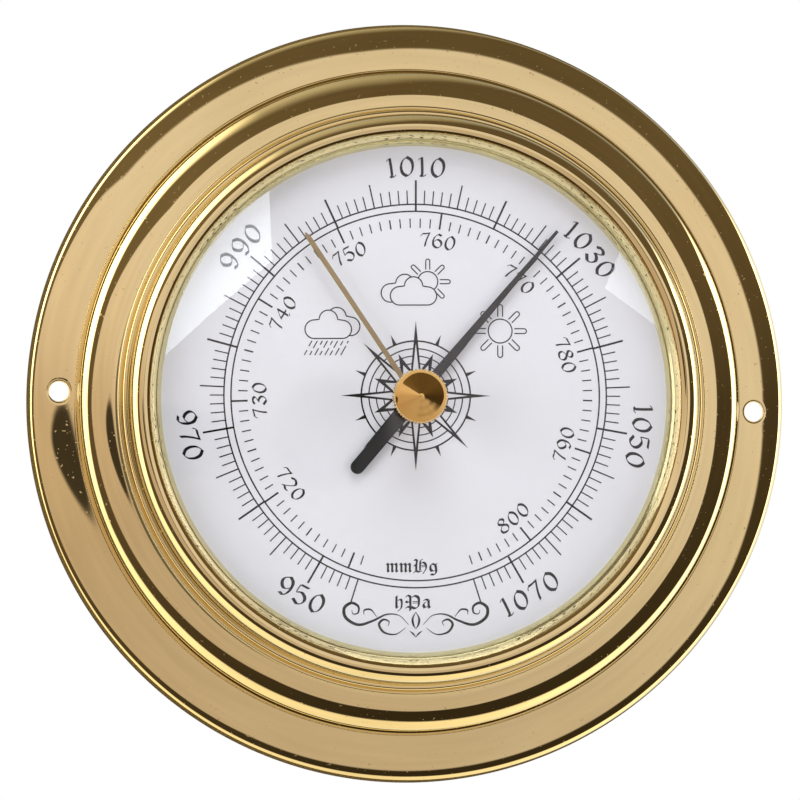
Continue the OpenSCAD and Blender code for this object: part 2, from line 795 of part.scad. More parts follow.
// Spring washer that keeps the knob where it is turned
module friction_washer() {
    color("silver") front() ring(bush_r + 0.75, spindle_d / 2 + run, nut_z + nut_t, knob_z);
}

// Knurled brass knob with a turned cone on its face
module knob() {
    top_z = knob_h - knob_cone;
    skirt_h = 0.8;
    color("gold") front() translate([0, 0, knob_z]) difference() {
        union() {
            cylinder(d = knob_d - 2, h = skirt_h);
            translate([0, 0, skirt_h]) linear_extrude(height = top_z - skirt_h)
                polygon([for (i = [0:2 * knurl_n - 1])
                    (knob_d / 2 - (i % 2) * knurl_depth) * [cos(180 * i / knurl_n), sin(180 * i / knurl_n)]]);
            translate([0, 0, top_z]) cylinder(r1 = knob_d / 2 - 2 * knurl_depth, r2 = 0.3, h = knob_cone);
        }
        rod(spindle_d / 2, -over, bore_depth);
    }
}

case_flange();
bezel();
glass_gasket();
glass_lens();
reveal_ring();
dial_plate();
dial_seat_ring();
rear_cup();
movement_base();
base_screws();
capsule_stud();
capsule_lower();
capsule_upper();
capsule_head();
lever_bracket();
lever_pin();
main_lever();
link();
link_pin();
rocker_bracket();
bracket_screws();
rocking_shaft();
bridge_pillars();
lower_bridge();
bridge_spacers();
upper_bridge();
bridge_screws();
toothed_sector();
sector_arbor();
pinion_arbor();
hairspring();
hairspring_stud();
adjusting_screw();
pointer_bush();
pointer();
set_hand();
knob_spindle();
glass_bush();
bush_washer();
bush_nut();
friction_washer();
knob();
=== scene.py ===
"""Looks of a brass wall weather station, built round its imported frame.

Lengths are written in millimetres in the dial's own coordinates: x to the right,
y up and h the height over the wall. Meshes are placed in the frame in metres, where
a point (x, y, h) lies at (x, -h, y).
"""

from __future__ import annotations

import json
import logging
import math
from collections.abc import Callable
from dataclasses import dataclass, field
from enum import Enum
from typing import ClassVar

import bmesh
import bpy
import numpy as np
from mathutils import Matrix, Vector

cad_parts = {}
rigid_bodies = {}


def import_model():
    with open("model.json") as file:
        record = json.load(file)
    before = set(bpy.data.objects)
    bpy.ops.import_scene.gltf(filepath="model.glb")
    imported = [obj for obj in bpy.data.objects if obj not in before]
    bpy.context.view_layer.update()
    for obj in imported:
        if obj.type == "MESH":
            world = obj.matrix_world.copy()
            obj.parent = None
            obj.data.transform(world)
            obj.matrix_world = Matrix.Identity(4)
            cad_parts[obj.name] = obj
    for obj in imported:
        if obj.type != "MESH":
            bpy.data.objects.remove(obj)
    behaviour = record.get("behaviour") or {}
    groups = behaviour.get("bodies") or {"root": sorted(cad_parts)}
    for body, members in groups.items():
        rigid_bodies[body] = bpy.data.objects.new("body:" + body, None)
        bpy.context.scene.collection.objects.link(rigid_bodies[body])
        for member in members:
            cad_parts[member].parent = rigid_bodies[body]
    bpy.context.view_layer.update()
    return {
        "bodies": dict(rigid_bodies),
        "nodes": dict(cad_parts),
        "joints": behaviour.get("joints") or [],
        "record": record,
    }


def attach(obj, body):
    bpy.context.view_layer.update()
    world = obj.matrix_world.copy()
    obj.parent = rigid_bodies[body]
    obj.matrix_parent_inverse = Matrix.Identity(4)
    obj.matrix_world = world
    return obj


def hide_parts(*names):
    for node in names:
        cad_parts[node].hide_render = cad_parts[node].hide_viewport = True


log = logging.getLogger("weather_station")

MM = 0.001
TURN = 2 * math.pi
Triple = tuple[float, float, float]
Color = Triple
Point = tuple[float, float]
Socket = bpy.types.NodeSocket
Inputs = dict[str | int, object]


# Meshes


def place(x: np.ndarray, y: np.ndarray | float, h: np.ndarray | float) -> np.ndarray:
    """Turns dial coordinates in millimetres into frame coordinates in metres."""
    return np.stack(np.broadcast_arrays(x, -np.asarray(h, float), y), axis=-1) * MM


def arc(center: Point, radius: float, start: float, end: float, count: int) -> np.ndarray:
    """Points of a round stretch: center + radius (cos a, sin a), a from start to end degrees.

    Args:
        center: Middle of the circle.
        radius: Its radius; a negative one draws the opposite side.
        start: First angle in degrees.
        end: Last angle in degrees.
        count: Number of points.

    Returns:
        An array of points, one row each.
    """
    a = np.radians(np.linspace(start, end, count))
    return np.asarray(center) + radius * np.stack([np.cos(a), np.sin(a)], axis=-1)


def circle(center: Point, radius: float, count: int) -> np.ndarray:
    """Points of a whole circle, each of them once."""
    return arc(center, radius, 0, 360, count + 1)[:-1]


def heading(angle: float) -> np.ndarray:
    """Unit vector at an angle in degrees: its cosine and its sine."""
    return np.array([math.cos(math.radians(angle)), math.sin(math.radians(angle))])


def clockwise(clock: float) -> tuple[np.ndarray, np.ndarray]:
    """Unit vectors at a clock angle in degrees: outwards, and a quarter turn clockwise from that."""
    a = math.radians(clock)
    return np.array([math.sin(a), math.cos(a)]), np.array([math.cos(a), -math.sin(a)])


def bends(top: Point, sense: float, runs: tuple[Point, ...]) -> np.ndarray:
    """Line of a turned roll that falls from its crest in round stretches, each smooth with the last.

    A stretch of radius R that ends at a slope t adds R (sin t - sin t0) to the side and takes
    R (cos t0 - cos t) from the height, where t0 is the slope before it.

    Args:
        top: Radius and height of the crest.
        sense: 1 for outwards, -1 for inwards.
        runs: Radius of each stretch and its last slope in degrees.

    Returns:
        Points from the crest to the foot.
    """
    steps = 12
    points, slope = [np.array(top)], 0.0
    for radius, end in runs:
        t0 = math.radians(slope)
        t = np.radians(np.linspace(slope, end, steps + 1)[1:])
        side, rise = sense * (np.sin(t) - math.sin(t0)), np.cos(t) - math.cos(t0)
        points += list(points[-1] + radius * np.stack([side, rise], axis=-1))
        slope = end
    return np.array(points)


def spline(points: np.ndarray, per_span: int) -> np.ndarray:
    """Smooth open curve through points.

    Between two points p1 and p2, with their neighbours p0 and p3, a point at t is
    half of 2 p1 + (p2 - p0) t + (2 p0 - 5 p1 + 4 p2 - p3) t^2 + (3 p1 - 3 p2 + p3 - p0) t^3.

    Args:
        points: The points, one row each.
        per_span: Samples between two points.

    Returns:
        The samples, one row each.
    """
    p = np.concatenate([2 * points[:1] - points[1:2], points, 2 * points[-1:] - points[-2:-1]])
    p0, p1, p2, p3 = (p[k : len(p) - 3 + k, None, :] for k in range(4))
    t = np.linspace(0, 1, per_span, endpoint=False)[None, :, None]
    curve = 0.5 * (
        2 * p1 + (p2 - p0) * t + (2 * p0 - 5 * p1 + 4 * p2 - p3) * t**2 + (3 * p1 - 3 * p2 + p3 - p0) * t**3
    )
    return np.concatenate([curve.reshape(-1, 2), points[-1:]])


def normals(path: np.ndarray, closed: bool) -> np.ndarray:
    """Unit normals of a flat path, a quarter turn to the left of its direction.

    Args:
        path: Points of the path, one row each.
        closed: Whether it comes back to its first point.

    Returns:
        A normal for each point.
    """
    if closed:
        step = np.roll(path, -1, axis=0) - np.roll(path, 1, axis=0)
    else:
        step = np.gradient(path, axis=0)
    step = step / np.maximum(np.linalg.norm(step, axis=1, keepdims=True), 1e-9)
    return np.stack([-step[:, 1], step[:, 0]], axis=-1)


def grid_faces(rows: int, columns: int, closed: bool) -> np.ndarray:
    """Four-cornered faces of a grid of vertices that is stored row by row, each row a ring.

    Args:
        rows: Number of rows.
        columns: Number of columns.
        closed: Whether the last row joins the first.

    Returns:
        Vertex indices, four to a face.
    """
    r, c = np.arange(rows if closed else rows - 1)[:, None], np.arange(columns)[None, :]
    r1, c1 = (r + 1) % rows, (c + 1) % columns
    corners = [r * columns + c, r * columns + c1, r1 * columns + c1, r1 * columns + c]
    return np.stack(corners, axis=-1).reshape(-1, 4)


def linked(name: str, data: bpy.types.ID) -> bpy.types.Object:
    """Makes an object at the origin and puts it in the scene."""
    made = bpy.data.objects.new(name, data)
    bpy.context.scene.collection.objects.link(made)
    return made


@dataclass
class Shape:
    """A mesh that grows shell by shell before it becomes one Blender object."""

    name: str
    points: list[np.ndarray] = field(default_factory=list)
    faces: list[tuple[int, ...]] = field(default_factory=list)
    count: int = 0

    def add(self, points: np.ndarray, faces: list[np.ndarray]) -> None:
        """Adds a shell whose faces count their vertices from zero."""
        self.points.append(np.asarray(points, float).reshape(-1, 3))
        for block in faces:
            self.faces.extend(map(tuple, (np.asarray(block) + self.count).tolist()))
        self.count += len(self.points[-1])

    def tube(self, grid: np.ndarray) -> None:
        """Adds a profile carried along a path: rows of ring points, with both ends closed."""
        rows, columns = grid.shape[:2]
        ends = [np.arange(columns)[None, ::-1], np.arange(columns)[None, :] + (rows - 1) * columns]
        self.add(grid, [grid_faces(rows, columns, False), *ends])

    def loop(self, grid: np.ndarray) -> None:
        """Adds a profile carried along a path that comes back to its start."""
        self.add(grid, [grid_faces(*grid.shape[:2], True)])

    def lathe(
        self, profile: np.ndarray, segments: int, wave: np.ndarray | None = None, teeth: int = 0
    ) -> None:
        """Adds a surface of revolution about the dial's axis.

        A point of the profile at radius r and height h becomes a circle of radius
        r (1 - wave |sin(teeth a / 2)|) at each angle a, so a wave of zero leaves it round.
        A profile that ends on the axis closes there in a fan.

        Args:
            profile: Radius and height of the profile's points, as a closed loop or from axis to axis.
            segments: Number of steps round the axis.
            wave: Depth of the knurl at each point, as a share of its radius.
            teeth: Number of teeth in the knurl.
        """
        on_axis = profile[0, 0] == 0
        body = profile[1:-1] if on_axis else profile
        a = np.arange(segments) * TURN / segments
        depth = np.zeros(len(profile)) if wave is None else wave
        depth = depth[1:-1] if on_axis else depth
        r = body[:, 0, None] * (1 - depth[:, None] * np.abs(np.sin(a * teeth / 2)))
        rings = place(r * np.cos(a), r * np.sin(a), body[:, 1, None] + 0 * a)
        if not on_axis:
            self.add(rings, [grid_faces(len(body), segments, True)])
            return
        count = len(body) * segments
        poles = place(np.zeros(2), np.zeros(2), profile[[0, -1], 1])
        near = np.arange(segments)
        far = near + count - segments
        fans = [
            np.stack([np.full(segments, count), np.roll(near, -1), near], axis=-1),
            np.stack([np.full(segments, count + 1), far, np.roll(far, -1)], axis=-1),
        ]
        faces = [grid_faces(len(body), segments, False), *fans]
        self.add(np.concatenate([rings.reshape(-1, 3), poles]), faces)

    def band(
        self, left: np.ndarray, right: np.ndarray, low: float, high: float, closed: bool = False
    ) -> None:
        """Adds a flat band between two edges, from height low to height high."""
        corners = ((left, low), (right, low), (right, high), (left, high))
        grid = np.stack([place(edge[:, 0], edge[:, 1], height) for edge, height in corners], axis=1)
        if closed:
            self.loop(grid)
        else:
            self.tube(grid)

    def build(
        self, finish: Finish, body: str, slot: str, replaces: tuple[str, ...] = (), crease: float = 32.0
    ) -> None:
        """Makes the Blender object, with its faces outwards and its creases sharp.

        Args:
            finish: Material of the piece.
            body: Body of the frame that it moves with.
            slot: Material slot of the record; not used.
            replaces: Nodes of the frame that it stands for.
            crease: Angle in degrees over which an edge is sharp.
        """
        mesh = bpy.data.meshes.new(self.name)
        mesh.from_pydata(np.concatenate(self.points).tolist(), [], self.faces)
        form = bmesh.new()
        form.from_mesh(mesh)
        bmesh.ops.remove_doubles(form, verts=form.verts, dist=1e-8)
        bmesh.ops.recalc_face_normals(form, faces=form.faces)
        form.to_mesh(mesh)
        form.free()
        mesh.shade_smooth()
        mesh.set_sharp_from_angle(angle=math.radians(crease))
        piece = linked(self.name, mesh)
        mesh.materials.append(finish.material())
        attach(piece, body)
        if replaces:
            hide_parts(*replaces)
        log.info("%s: %d faces, moves with %s", self.name, len(mesh.polygons), body)


# Finishes


class Graph:
    """A node tree that grows node by node."""

    def __init__(self, tree: bpy.types.NodeTree) -> None:
        """Takes over a node tree."""
        self.tree = tree

    def new(self, kind: str, given: Inputs | None = None, **settings: object) -> bpy.types.Node:
        """Adds a node, sets its properties and fills or links its inputs.

        Args:
            kind: Blender's name of the node type, without the ShaderNode before it.
            given: Input name or number to a value or to another node's output.
            settings: Properties of the node.

        Returns:
            The node.
        """
        node = self.tree.nodes.new("ShaderNode" + kind)
        for key, value in settings.items():
            setattr(node, key, value)
        for key, value in (given or {}).items():
            self.set(node.inputs[key], value)
        return node

    def set(self, socket: Socket, value: object) -> None:
        """Links an output to a socket, or writes a plain value on it."""
        if isinstance(value, Socket):
            self.tree.links.new(value, socket)
        else:
            socket.default_value = value

    def calculate(self, operation: str, *values: object) -> Socket:
        """Result of a calculation with one to three values."""
        return self.new("Math", dict(enumerate(values)), operation=operation).outputs[0]

    def mapped(self, value: Socket, **ends: float) -> Socket:
        """Maps a value from one range to another; from_min stands for From Min, and so on."""
        given = {key.replace("_", " ").title(): end for key, end in ends.items()}
        return self.new("MapRange", {"Value": value, **given}).outputs["Result"]


class Surface(Graph):
    """One node material, built step by step round its Principled shader."""

    def __init__(self, name: str) -> None:
        """Starts a material with its output and shader."""
        self.material = bpy.data.materials.new(name)
        self.material.use_nodes = True
        super().__init__(self.material.node_tree)
        self.shader = self.tree.nodes["Principled BSDF"]
        self.output = self.tree.nodes["Material Output"]
        self.coords = self.new("TexCoord").outputs["Object"]

    def shade(self, **values: object) -> None:
        """Sets or links the shader's inputs; an underscore in a name stands for a space."""
        for key, value in values.items():
            self.set(self.shader.inputs[key.replace("_", " ")], value)

    def noise(self, scale: float, detail: float, stretch: Triple = (1, 1, 1)) -> Socket:
        """Noise on object coordinates, finer along an axis whose stretch is large."""
        where = self.new("Mapping", {"Vector": self.coords, "Scale": stretch}).outputs[0]
        return self.new("TexNoise", {"Vector": where, "Scale": scale, "Detail": detail}).outputs["Fac"]

    def turned(self, pitch: float, wobble: float) -> Socket:
        """Rings about the dial's axis, one for each pitch in millimetres, as a lathe leaves them.

        The ring texture has 20 rings to a unit at a scale of one.
        """
        given: Inputs = {"Vector": self.coords, "Scale": 1 / (pitch * MM) / 20}
        given |= {"Distortion": wobble, "Detail": 3.0, "Detail Scale": 2.0}
        return self.new("TexWave", given, wave_type="RINGS", rings_direction="Y").outputs["Fac"]

    def tint(self, value: Socket, first: Color, second: Color) -> Socket:
        """Colour between two shades, by a cloudy value."""
        ramp = self.new("ValToRGB", {"Fac": value})
        for element, where, color in zip(ramp.color_ramp.elements, (0.35, 0.65), (first, second)):
            element.position, element.color = where, (*color, 1)
        return ramp.outputs["Color"]

    def bump(self, height: Socket, depth: float, below: Socket | None = None) -> Socket:
        """Bump of a depth in millimetres, on top of another one if given."""
        given: Inputs = {"Height": height, "Distance": depth * MM, "Strength": 1.0}
        if below is not None:
            given["Normal"] = below
        return self.new("Bump", given).outputs["Normal"]


@dataclass(frozen=True)
class Finish:
    """A finish of one of the instrument's surfaces; each name makes one material."""

    name: str

    def material(self) -> bpy.types.Material:
        """The finish's material, made once."""
        found = bpy.data.materials.get(self.name)
        if found:
            return found
        surface = Surface(self.name)
        self.dress(surface)
        return surface.material

    def dress(self, surface: Surface) -> None:
        """Writes the finish into a new material."""
        raise NotImplementedError


@dataclass(frozen=True)
class Metal(Finish):
    """Metal with cloudy tone, fine polishing marks and, if turned, lathe rings.

    Depths and the pitch are in millimetres. The gloss is the least and the greatest
    roughness, sag is the depth of slow dents, and dust is how much rougher its specks are.
    """

    light: Color
    dark: Color
    gloss: tuple[float, float]
    marks: float
    ring_pitch: float = 0.0
    ring_depth: float = 0.0
    grain: Triple = (1, 1, 1)
    sag: float = 0.0
    dust: float = 0.0

    def dress(self, surface: Surface) -> None:
        """Cloud noise shifts colour and roughness; fine noise and rings give the bump."""
        cloud = surface.noise(55, 4)
        normal = surface.bump(surface.noise(900, 2, self.grain), self.marks)
        if self.ring_pitch:
            normal = surface.bump(surface.turned(self.ring_pitch, 1.2), self.ring_depth, normal)
        if self.sag:
            normal = surface.bump(surface.noise(45, 1), self.sag, normal)
        low, high = self.gloss
        gloss = surface.mapped(cloud, from_min=0.3, from_max=0.7, to_min=low, to_max=high)
        if self.dust:
            specks = surface.mapped(surface.noise(2300, 0), from_min=0.76, from_max=0.82, to_max=self.dust)
            gloss = surface.calculate("ADD", gloss, specks)
        tone = surface.tint(cloud, self.dark, self.light)
        surface.shade(Base_Color=tone, Metallic=1.0, Roughness=gloss, Normal=normal)


@dataclass(frozen=True)
class Paint(Finish):
    """Paint, rubber, fibre or print: a tone with slight clouds and a fine skin, its depth in millimetres."""

    light: Color
    dark: Color
    roughness: float
    skin: float = 0.002
    skin_scale: float = 1500.0
    shine: float = 0.5

    def dress(self, surface: Surface) -> None:
        """Cloud noise shifts the colour; fine noise gives the skin."""
        surface.shade(
            Base_Color=surface.tint(surface.noise(70, 4), self.dark, self.light),
            Roughness=self.roughness,
            Specular_IOR_Level=self.shine,
            Normal=surface.bump(surface.noise(self.skin_scale, 2), self.skin),
        )


@dataclass(frozen=True)
class ClearGlass(Finish):
    """Clear polished glass that lets light through to the dial."""

    tone: Color = (0.985, 0.99, 0.99)
    passing: Color = (0.95, 0.96, 0.96)
    wave_depth: float = 0.004

    def dress(self, surface: Surface) -> None:
        """Glass for sight and reflections; clear for light that falls on the dial behind it."""
        surface.shade(
            Base_Color=(*self.tone, 1),
            Roughness=0.0,
            IOR=1.5,
            Transmission_Weight=1.0,
            Specular_IOR_Level=0.22,
            Normal=surface.bump(surface.noise(25, 1), self.wave_depth),
        )
        rays = surface.new("LightPath").outputs
        soft = surface.calculate("MAXIMUM", rays["Is Shadow Ray"], rays["Is Diffuse Ray"])
        clear = surface.new("BsdfTransparent", {"Color": (*self.passing, 1)}).outputs[0]
        mix = surface.new("MixShader", {"Fac": soft, 1: surface.shader.outputs[0], 2: clear})
        surface.set(surface.output.inputs["Surface"], mix.outputs[0])


POLISHED_BRASS = Metal(
    "mirror_brass", (0.93, 0.78, 0.41), (0.92, 0.76, 0.385), (0.025, 0.055), 0.0002, sag=0.07, dust=0.3
)
PALE_BRASS = Metal("pale_brass", (0.80, 0.72, 0.38), (0.73, 0.64, 0.32), (0.10, 0.17), 0.0004)
TURNED_BRASS = Metal(
    "lathe_brass", (0.97, 0.67, 0.25), (0.88, 0.56, 0.18), (0.06, 0.12), 0.0004, 0.16, 0.0012
)
HAND_BRASS = Metal("olive_brass", (0.42, 0.31, 0.15), (0.35, 0.25, 0.11), (0.3, 0.42), 0.002)
CUP_BRASS = Metal("spun_brass", (0.80, 0.58, 0.28), (0.66, 0.45, 0.2), (0.26, 0.4), 0.004, 0.5, 0.003)
MOVEMENT_BRASS = Metal(
    "plate_brass", (0.86, 0.66, 0.32), (0.76, 0.55, 0.24), (0.2, 0.32), 0.006, grain=(1, 1, 0.04)
)
CAPSULE_METAL = Metal(
    "capsule_bronze", (0.80, 0.72, 0.52), (0.70, 0.60, 0.40), (0.22, 0.34), 0.002, 0.35, 0.002
)
STEEL = Metal("bright_steel", (0.66, 0.66, 0.68), (0.52, 0.52, 0.54), (0.2, 0.34), 0.003)
BLUED_STEEL = Metal("blue_spring_steel", (0.10, 0.16, 0.42), (0.06, 0.09, 0.26), (0.2, 0.3), 0.001)
RUBBER = Paint("black_rubber", (0.035, 0.035, 0.035), (0.02, 0.02, 0.02), 0.8, 0.01)
FIBRE = Paint("red_fibre", (0.24, 0.11, 0.06), (0.16, 0.07, 0.035), 0.75, 0.01)
DIAL_WHITE = Paint("dial_enamel", (0.80, 0.79, 0.835), (0.785, 0.775, 0.82), 0.5, 0.0012, 2200, 0.2)
DIAL_INK = Paint("dial_ink", (0.006, 0.006, 0.008), (0.004, 0.004, 0.006), 0.6, 0.001, shine=0.1)
BLACK_LACQUER = Paint("hand_lacquer", (0.010, 0.010, 0.011), (0.007, 0.007, 0.008), 0.35, shine=0.35)
GLASS = ClearGlass("dome_glass")
FLOOR_PAINT = Paint("floor_paint", (0.84, 0.84, 0.84), (0.82, 0.82, 0.82), 0.7)
SHADE_PAINT = Paint("shade_paint", (0.16, 0.125, 0.07), (0.14, 0.11, 0.06), 0.8, shine=0.0)


# Case


@dataclass
class Case:
    """Pressed flange, turned bezel and reveal ring: all the brass that shows from the front.

    Names end in _r for radii, _h and _z for heights over the wall, _t for thicknesses and
    _a for angles in degrees, measured at a round stretch's centre from the dial's plane.
    """

    flange_r: float = 57.5
    sheet_t: float = 0.9
    foot_r: float = 50.3
    face_h: float = 6.0
    rim_r: float = 3.0
    rim_a: float = 66.0
    face_a: float = 84.0
    fillet: float = 0.2
    wall_lean: float = 7.0
    neck_r: float = 42.6
    ledge_h: float = 12.8
    neck_bend: float = 1.2
    neck_z: float = 8.8
    hole_r: float = 1.5
    hole_flare: float = 0.42
    hole_ring_r: float = 52.6
    hole_turn: float = 1.5
    patch_half: float = 2.12
    patch_steps: int = 10
    dial_h: float = 16.0
    lip_r: float = 38.6
    bore_r: float = 39.85
    glass_r: float = 39.7
    lip_z: float = 19.3
    segments: int = 480

    def __post_init__(self) -> None:
        """Works out the centres of the round stretches from the sizes."""
        rim, face, lean = heading(self.rim_a), heading(self.face_a), heading(self.wall_lean)
        reach = self.flange_r - self.rim_r + self.rim_r * rim[0] - self.foot_r
        self.face_r = reach / (rim[0] - face[0])
        self.face_c = (self.foot_r, self.face_h) - self.face_r * face
        self.rim_c = self.face_c + (self.face_r - self.rim_r) * rim
        self.foot_c = (self.foot_r, self.face_h) + self.fillet * face
        wall = self.foot_c - self.fillet * lean
        self.step_x = self.neck_r + self.neck_bend
        run = (wall[0] - self.step_x) * lean[0] - (self.ledge_h - wall[1]) * lean[1]
        self.step_r = run / (1 - lean[1])

    def face_line(self, depth: float) -> np.ndarray:
        """Line of the flange face, h = c + sqrt(R^2 - (r - c)^2), with even steps beside the holes."""
        radius = self.face_r - depth
        outer, inner = (self.face_c[0] + radius * heading(a)[0] for a in (self.rim_a, self.face_a))
        low, high = self.hole_ring_r - self.patch_half, self.hole_ring_r + self.patch_half
        beside = np.linspace(high, low, self.patch_steps + 1)
        r = np.concatenate([np.linspace(outer, high, 5)[:-1], beside, np.linspace(low, inner, 3)[1:]])
        return np.stack([r, self.face_c[1] + np.sqrt(radius**2 - (r - self.face_c[0]) ** 2)], axis=-1)

    def sheet_line(self, depth: float, fine: int) -> tuple[np.ndarray, int]:
        """Line of the sheet at a depth below its front, from the wall to the neck's end.

        Args:
            depth: Depth below the front face.
            fine: Number of points on a large round stretch.

        Returns:
            Radius and height of each point, and the index of the first point beside a hole.
        """
        rim = arc(self.rim_c, self.rim_r - depth, 0, self.rim_a, fine)
        before_patch = 4
        parts = [
            np.array([[self.flange_r - depth, 0.0], [self.flange_r - depth, self.rim_c[1] * 0.6]]),
            rim[:-1],
            self.face_line(depth),
            arc(self.foot_c, -self.fillet - depth, self.face_a, self.wall_lean, 7)[1:],
            arc((self.step_x, self.ledge_h - self.step_r), self.step_r - depth, self.wall_lean, 90, fine),
            arc((self.step_x, self.ledge_h - self.neck_bend), self.neck_bend - depth, 90, 180, 7)[1:],
            np.array([[self.neck_r + depth, self.neck_z]]),
        ]
        return np.concatenate(parts), 2 + len(rim) - 1 + before_patch

    def flange(self) -> None:
        """Builds the flange: a lathe grid where a polar patch takes the place of the cells at each hole."""
        front, front_at = self.sheet_line(0.0, 22)
        back, back_at = self.sheet_line(self.sheet_t, 10)
        profile = np.concatenate([front, back[::-1]])
        back_at = len(profile) - 1 - back_at
        n, k, steps = self.segments, len(profile), self.patch_steps
        a = np.arange(n) * TURN / n
        r, h = profile[:, :1], profile[:, 1:]
        grid = place(r * np.cos(a), r * np.sin(a), h + 0 * a)
        cells = grid_faces(k, n, True)
        row, column = np.divmod(np.arange(k * n), n)
        keep = np.ones(k * n, bool)
        shape = Shape("flange_shell")
        patches = []
        for turn in (0.0, 180.0):
            middle = round((turn - self.hole_turn) / 360 * n)
            columns = np.arange(middle - steps // 2, middle + steps // 2) % n
            for first in (front_at, back_at - steps):
                keep &= ~((row >= first) & (row < first + steps) & np.isin(column, columns))
            patches.append(self.hole_patch(turn - self.hole_turn, middle, front_at, back_at, grid))
        shape.add(grid, [cells[keep]])
        for rings in patches:
            shape.add(rings, [grid_faces(*rings.shape[:2], False)])
        shape.build(POLISHED_BRASS, "case", "polished_brass", ("case_flange",))

    def hole_patch(
        self, turn: float, middle: int, front_at: int, back_at: int, grid: np.ndarray
    ) -> np.ndarray:
        """Surface round one screw hole, as rings from the front grid through the hole to the back grid.

        A ring runs a share t of the way from the grid's square edge to the hole's circle, and
        keeps the height of the sheet at its own radius. The edge of the hole is rounded:
        at an angle b the circle is hole_r + flare (1 - sin b) wide and flare (1 - cos b) deep.

        Args:
            turn: Angle of the hole in degrees.
            middle: Column of the grid nearest to the hole.
            front_at: First row of the front that lies beside the hole.
            back_at: Last row of the back that lies beside the hole.
            grid: The lathe grid.

        Returns:
            Rings of points, from the front's square edge to the back's.
        """
        center = self.hole_ring_r * heading(turn)
        steps, half = self.patch_steps, self.patch_steps // 2
        side = np.arange(steps)
        u = np.concatenate([side - half, np.full(steps, half), half - side, np.full(steps, -half)])
        v = np.concatenate([np.zeros(steps, int), side, np.full(steps, steps), steps - side])
        columns = (middle + u) % self.segments
        outer, inner = grid[front_at + v, columns], grid[back_at - v, columns]
        front_flat, back_flat = (edge[:, [0, 2]] / MM for edge in (outer, inner))
        away = front_flat - center
        way = away / np.linalg.norm(away, axis=1, keepdims=True)
        wide = self.hole_r + self.hole_flare
        through = center + way * self.hole_r
        levels = [(front_flat * (1 - t) + (center + way * wide) * t, 0.0, 0.0) for t in (0.3, 0.6, 0.85)]
        for b in np.radians([0, 15, 30, 45, 60, 75, 90]):
            circle_r = self.hole_r + self.hole_flare * (1 - math.sin(b))
            levels.append((center + way * circle_r, 0.0, self.hole_flare * (1 - math.cos(b))))
        levels += [(through, self.sheet_t, 0.0), (0.5 * (through + back_flat), self.sheet_t, 0.0)]
        rings = [place(xy[:, 0], xy[:, 1], self.face_height(xy, depth) - drop) for xy, depth, drop in levels]
        return np.stack([outer, *rings, inner])

    def face_height(self, xy: np.ndarray, depth: float) -> np.ndarray:
        """Height of the flange face over the wall at points of the dial plane."""
        r = np.linalg.norm(xy, axis=1)
        return self.face_c[1] + np.sqrt((self.face_r - depth) ** 2 - (r - self.face_c[0]) ** 2)

    def bezel(self) -> None:
        """Builds the bezel: one closed lathe profile of beads, crest, lip and skirt."""
        foot_bead_r, bead_r, sunk = 0.35, 0.52, 0.05
        crest = (self.bore_r + 0.25, self.lip_z + 1.85)
        outside = bends(crest, 1, ((0.84, 31), (2.2, 45), (4.2, 62), (3.9, 85)))
        inside = bends(crest, -1, ((1.2, 30), (1.5, 50), (4.6, 68)))
        outer_r, lip_r = outside[-1, 0], inside[-1, 0]
        skirt_r, skirt_t, skirt_z = self.neck_r - 0.05, 0.85, self.neck_z + 0.4
        foot_c = (self.neck_r + 1.3 - foot_bead_r, self.ledge_h + foot_bead_r)
        bead_c = (outer_r + bead_r - sunk, self.ledge_h + 1.8)
        bore_z, inner_r = self.dial_h - 0.6, skirt_r - skirt_t
        profile = [
            [[skirt_r, skirt_z], [skirt_r, self.ledge_h]],
            arc(foot_c, foot_bead_r, -90, 140, 14),
            arc(bead_c, bead_r, -30, 125, 16),
            [[outer_r, bead_c[1] + bead_r + 0.25]],
            outside[::-1],
            inside[1:],
            [[lip_r, self.lip_z], [self.bore_r, self.lip_z], [self.bore_r, bore_z]],
            [[inner_r, bore_z], [inner_r, skirt_z]],
        ]
        shape = Shape("bezel_ring")
        shape.lathe(np.concatenate(profile), self.segments)
        shape.build(POLISHED_BRASS, "case", "polished_brass", ("bezel",))

    def reveal(self) -> None:
        """Builds the flared polished ring between the dial and the glass.

        Its wall is a round stretch of radius height / (cos lean - cos steep), where lean and
        steep are its slopes at the top and at the foot.
        """
        height, lean, steep = 1.4, 30, 75
        top_r, top_z = self.lip_r - 0.1, self.dial_h + height
        tilt = heading(lean)
        radius = height / (tilt[0] - heading(steep)[0])
        center = (top_r + radius * tilt[1], top_z - radius * tilt[0])
        wall = arc(center, radius, 90 + lean, 90 + steep, 22)
        profile = np.concatenate([[[self.glass_r, self.dial_h], [self.glass_r, top_z]], wall])
        shape = Shape("reveal_wall")
        shape.lathe(profile, self.segments)
        shape.build(PALE_BRASS, "case", "polished_brass", ("reveal_ring",))

    def build(self) -> None:
        """Builds every piece of the case."""
        self.flange()
        self.bezel()
        self.reveal()


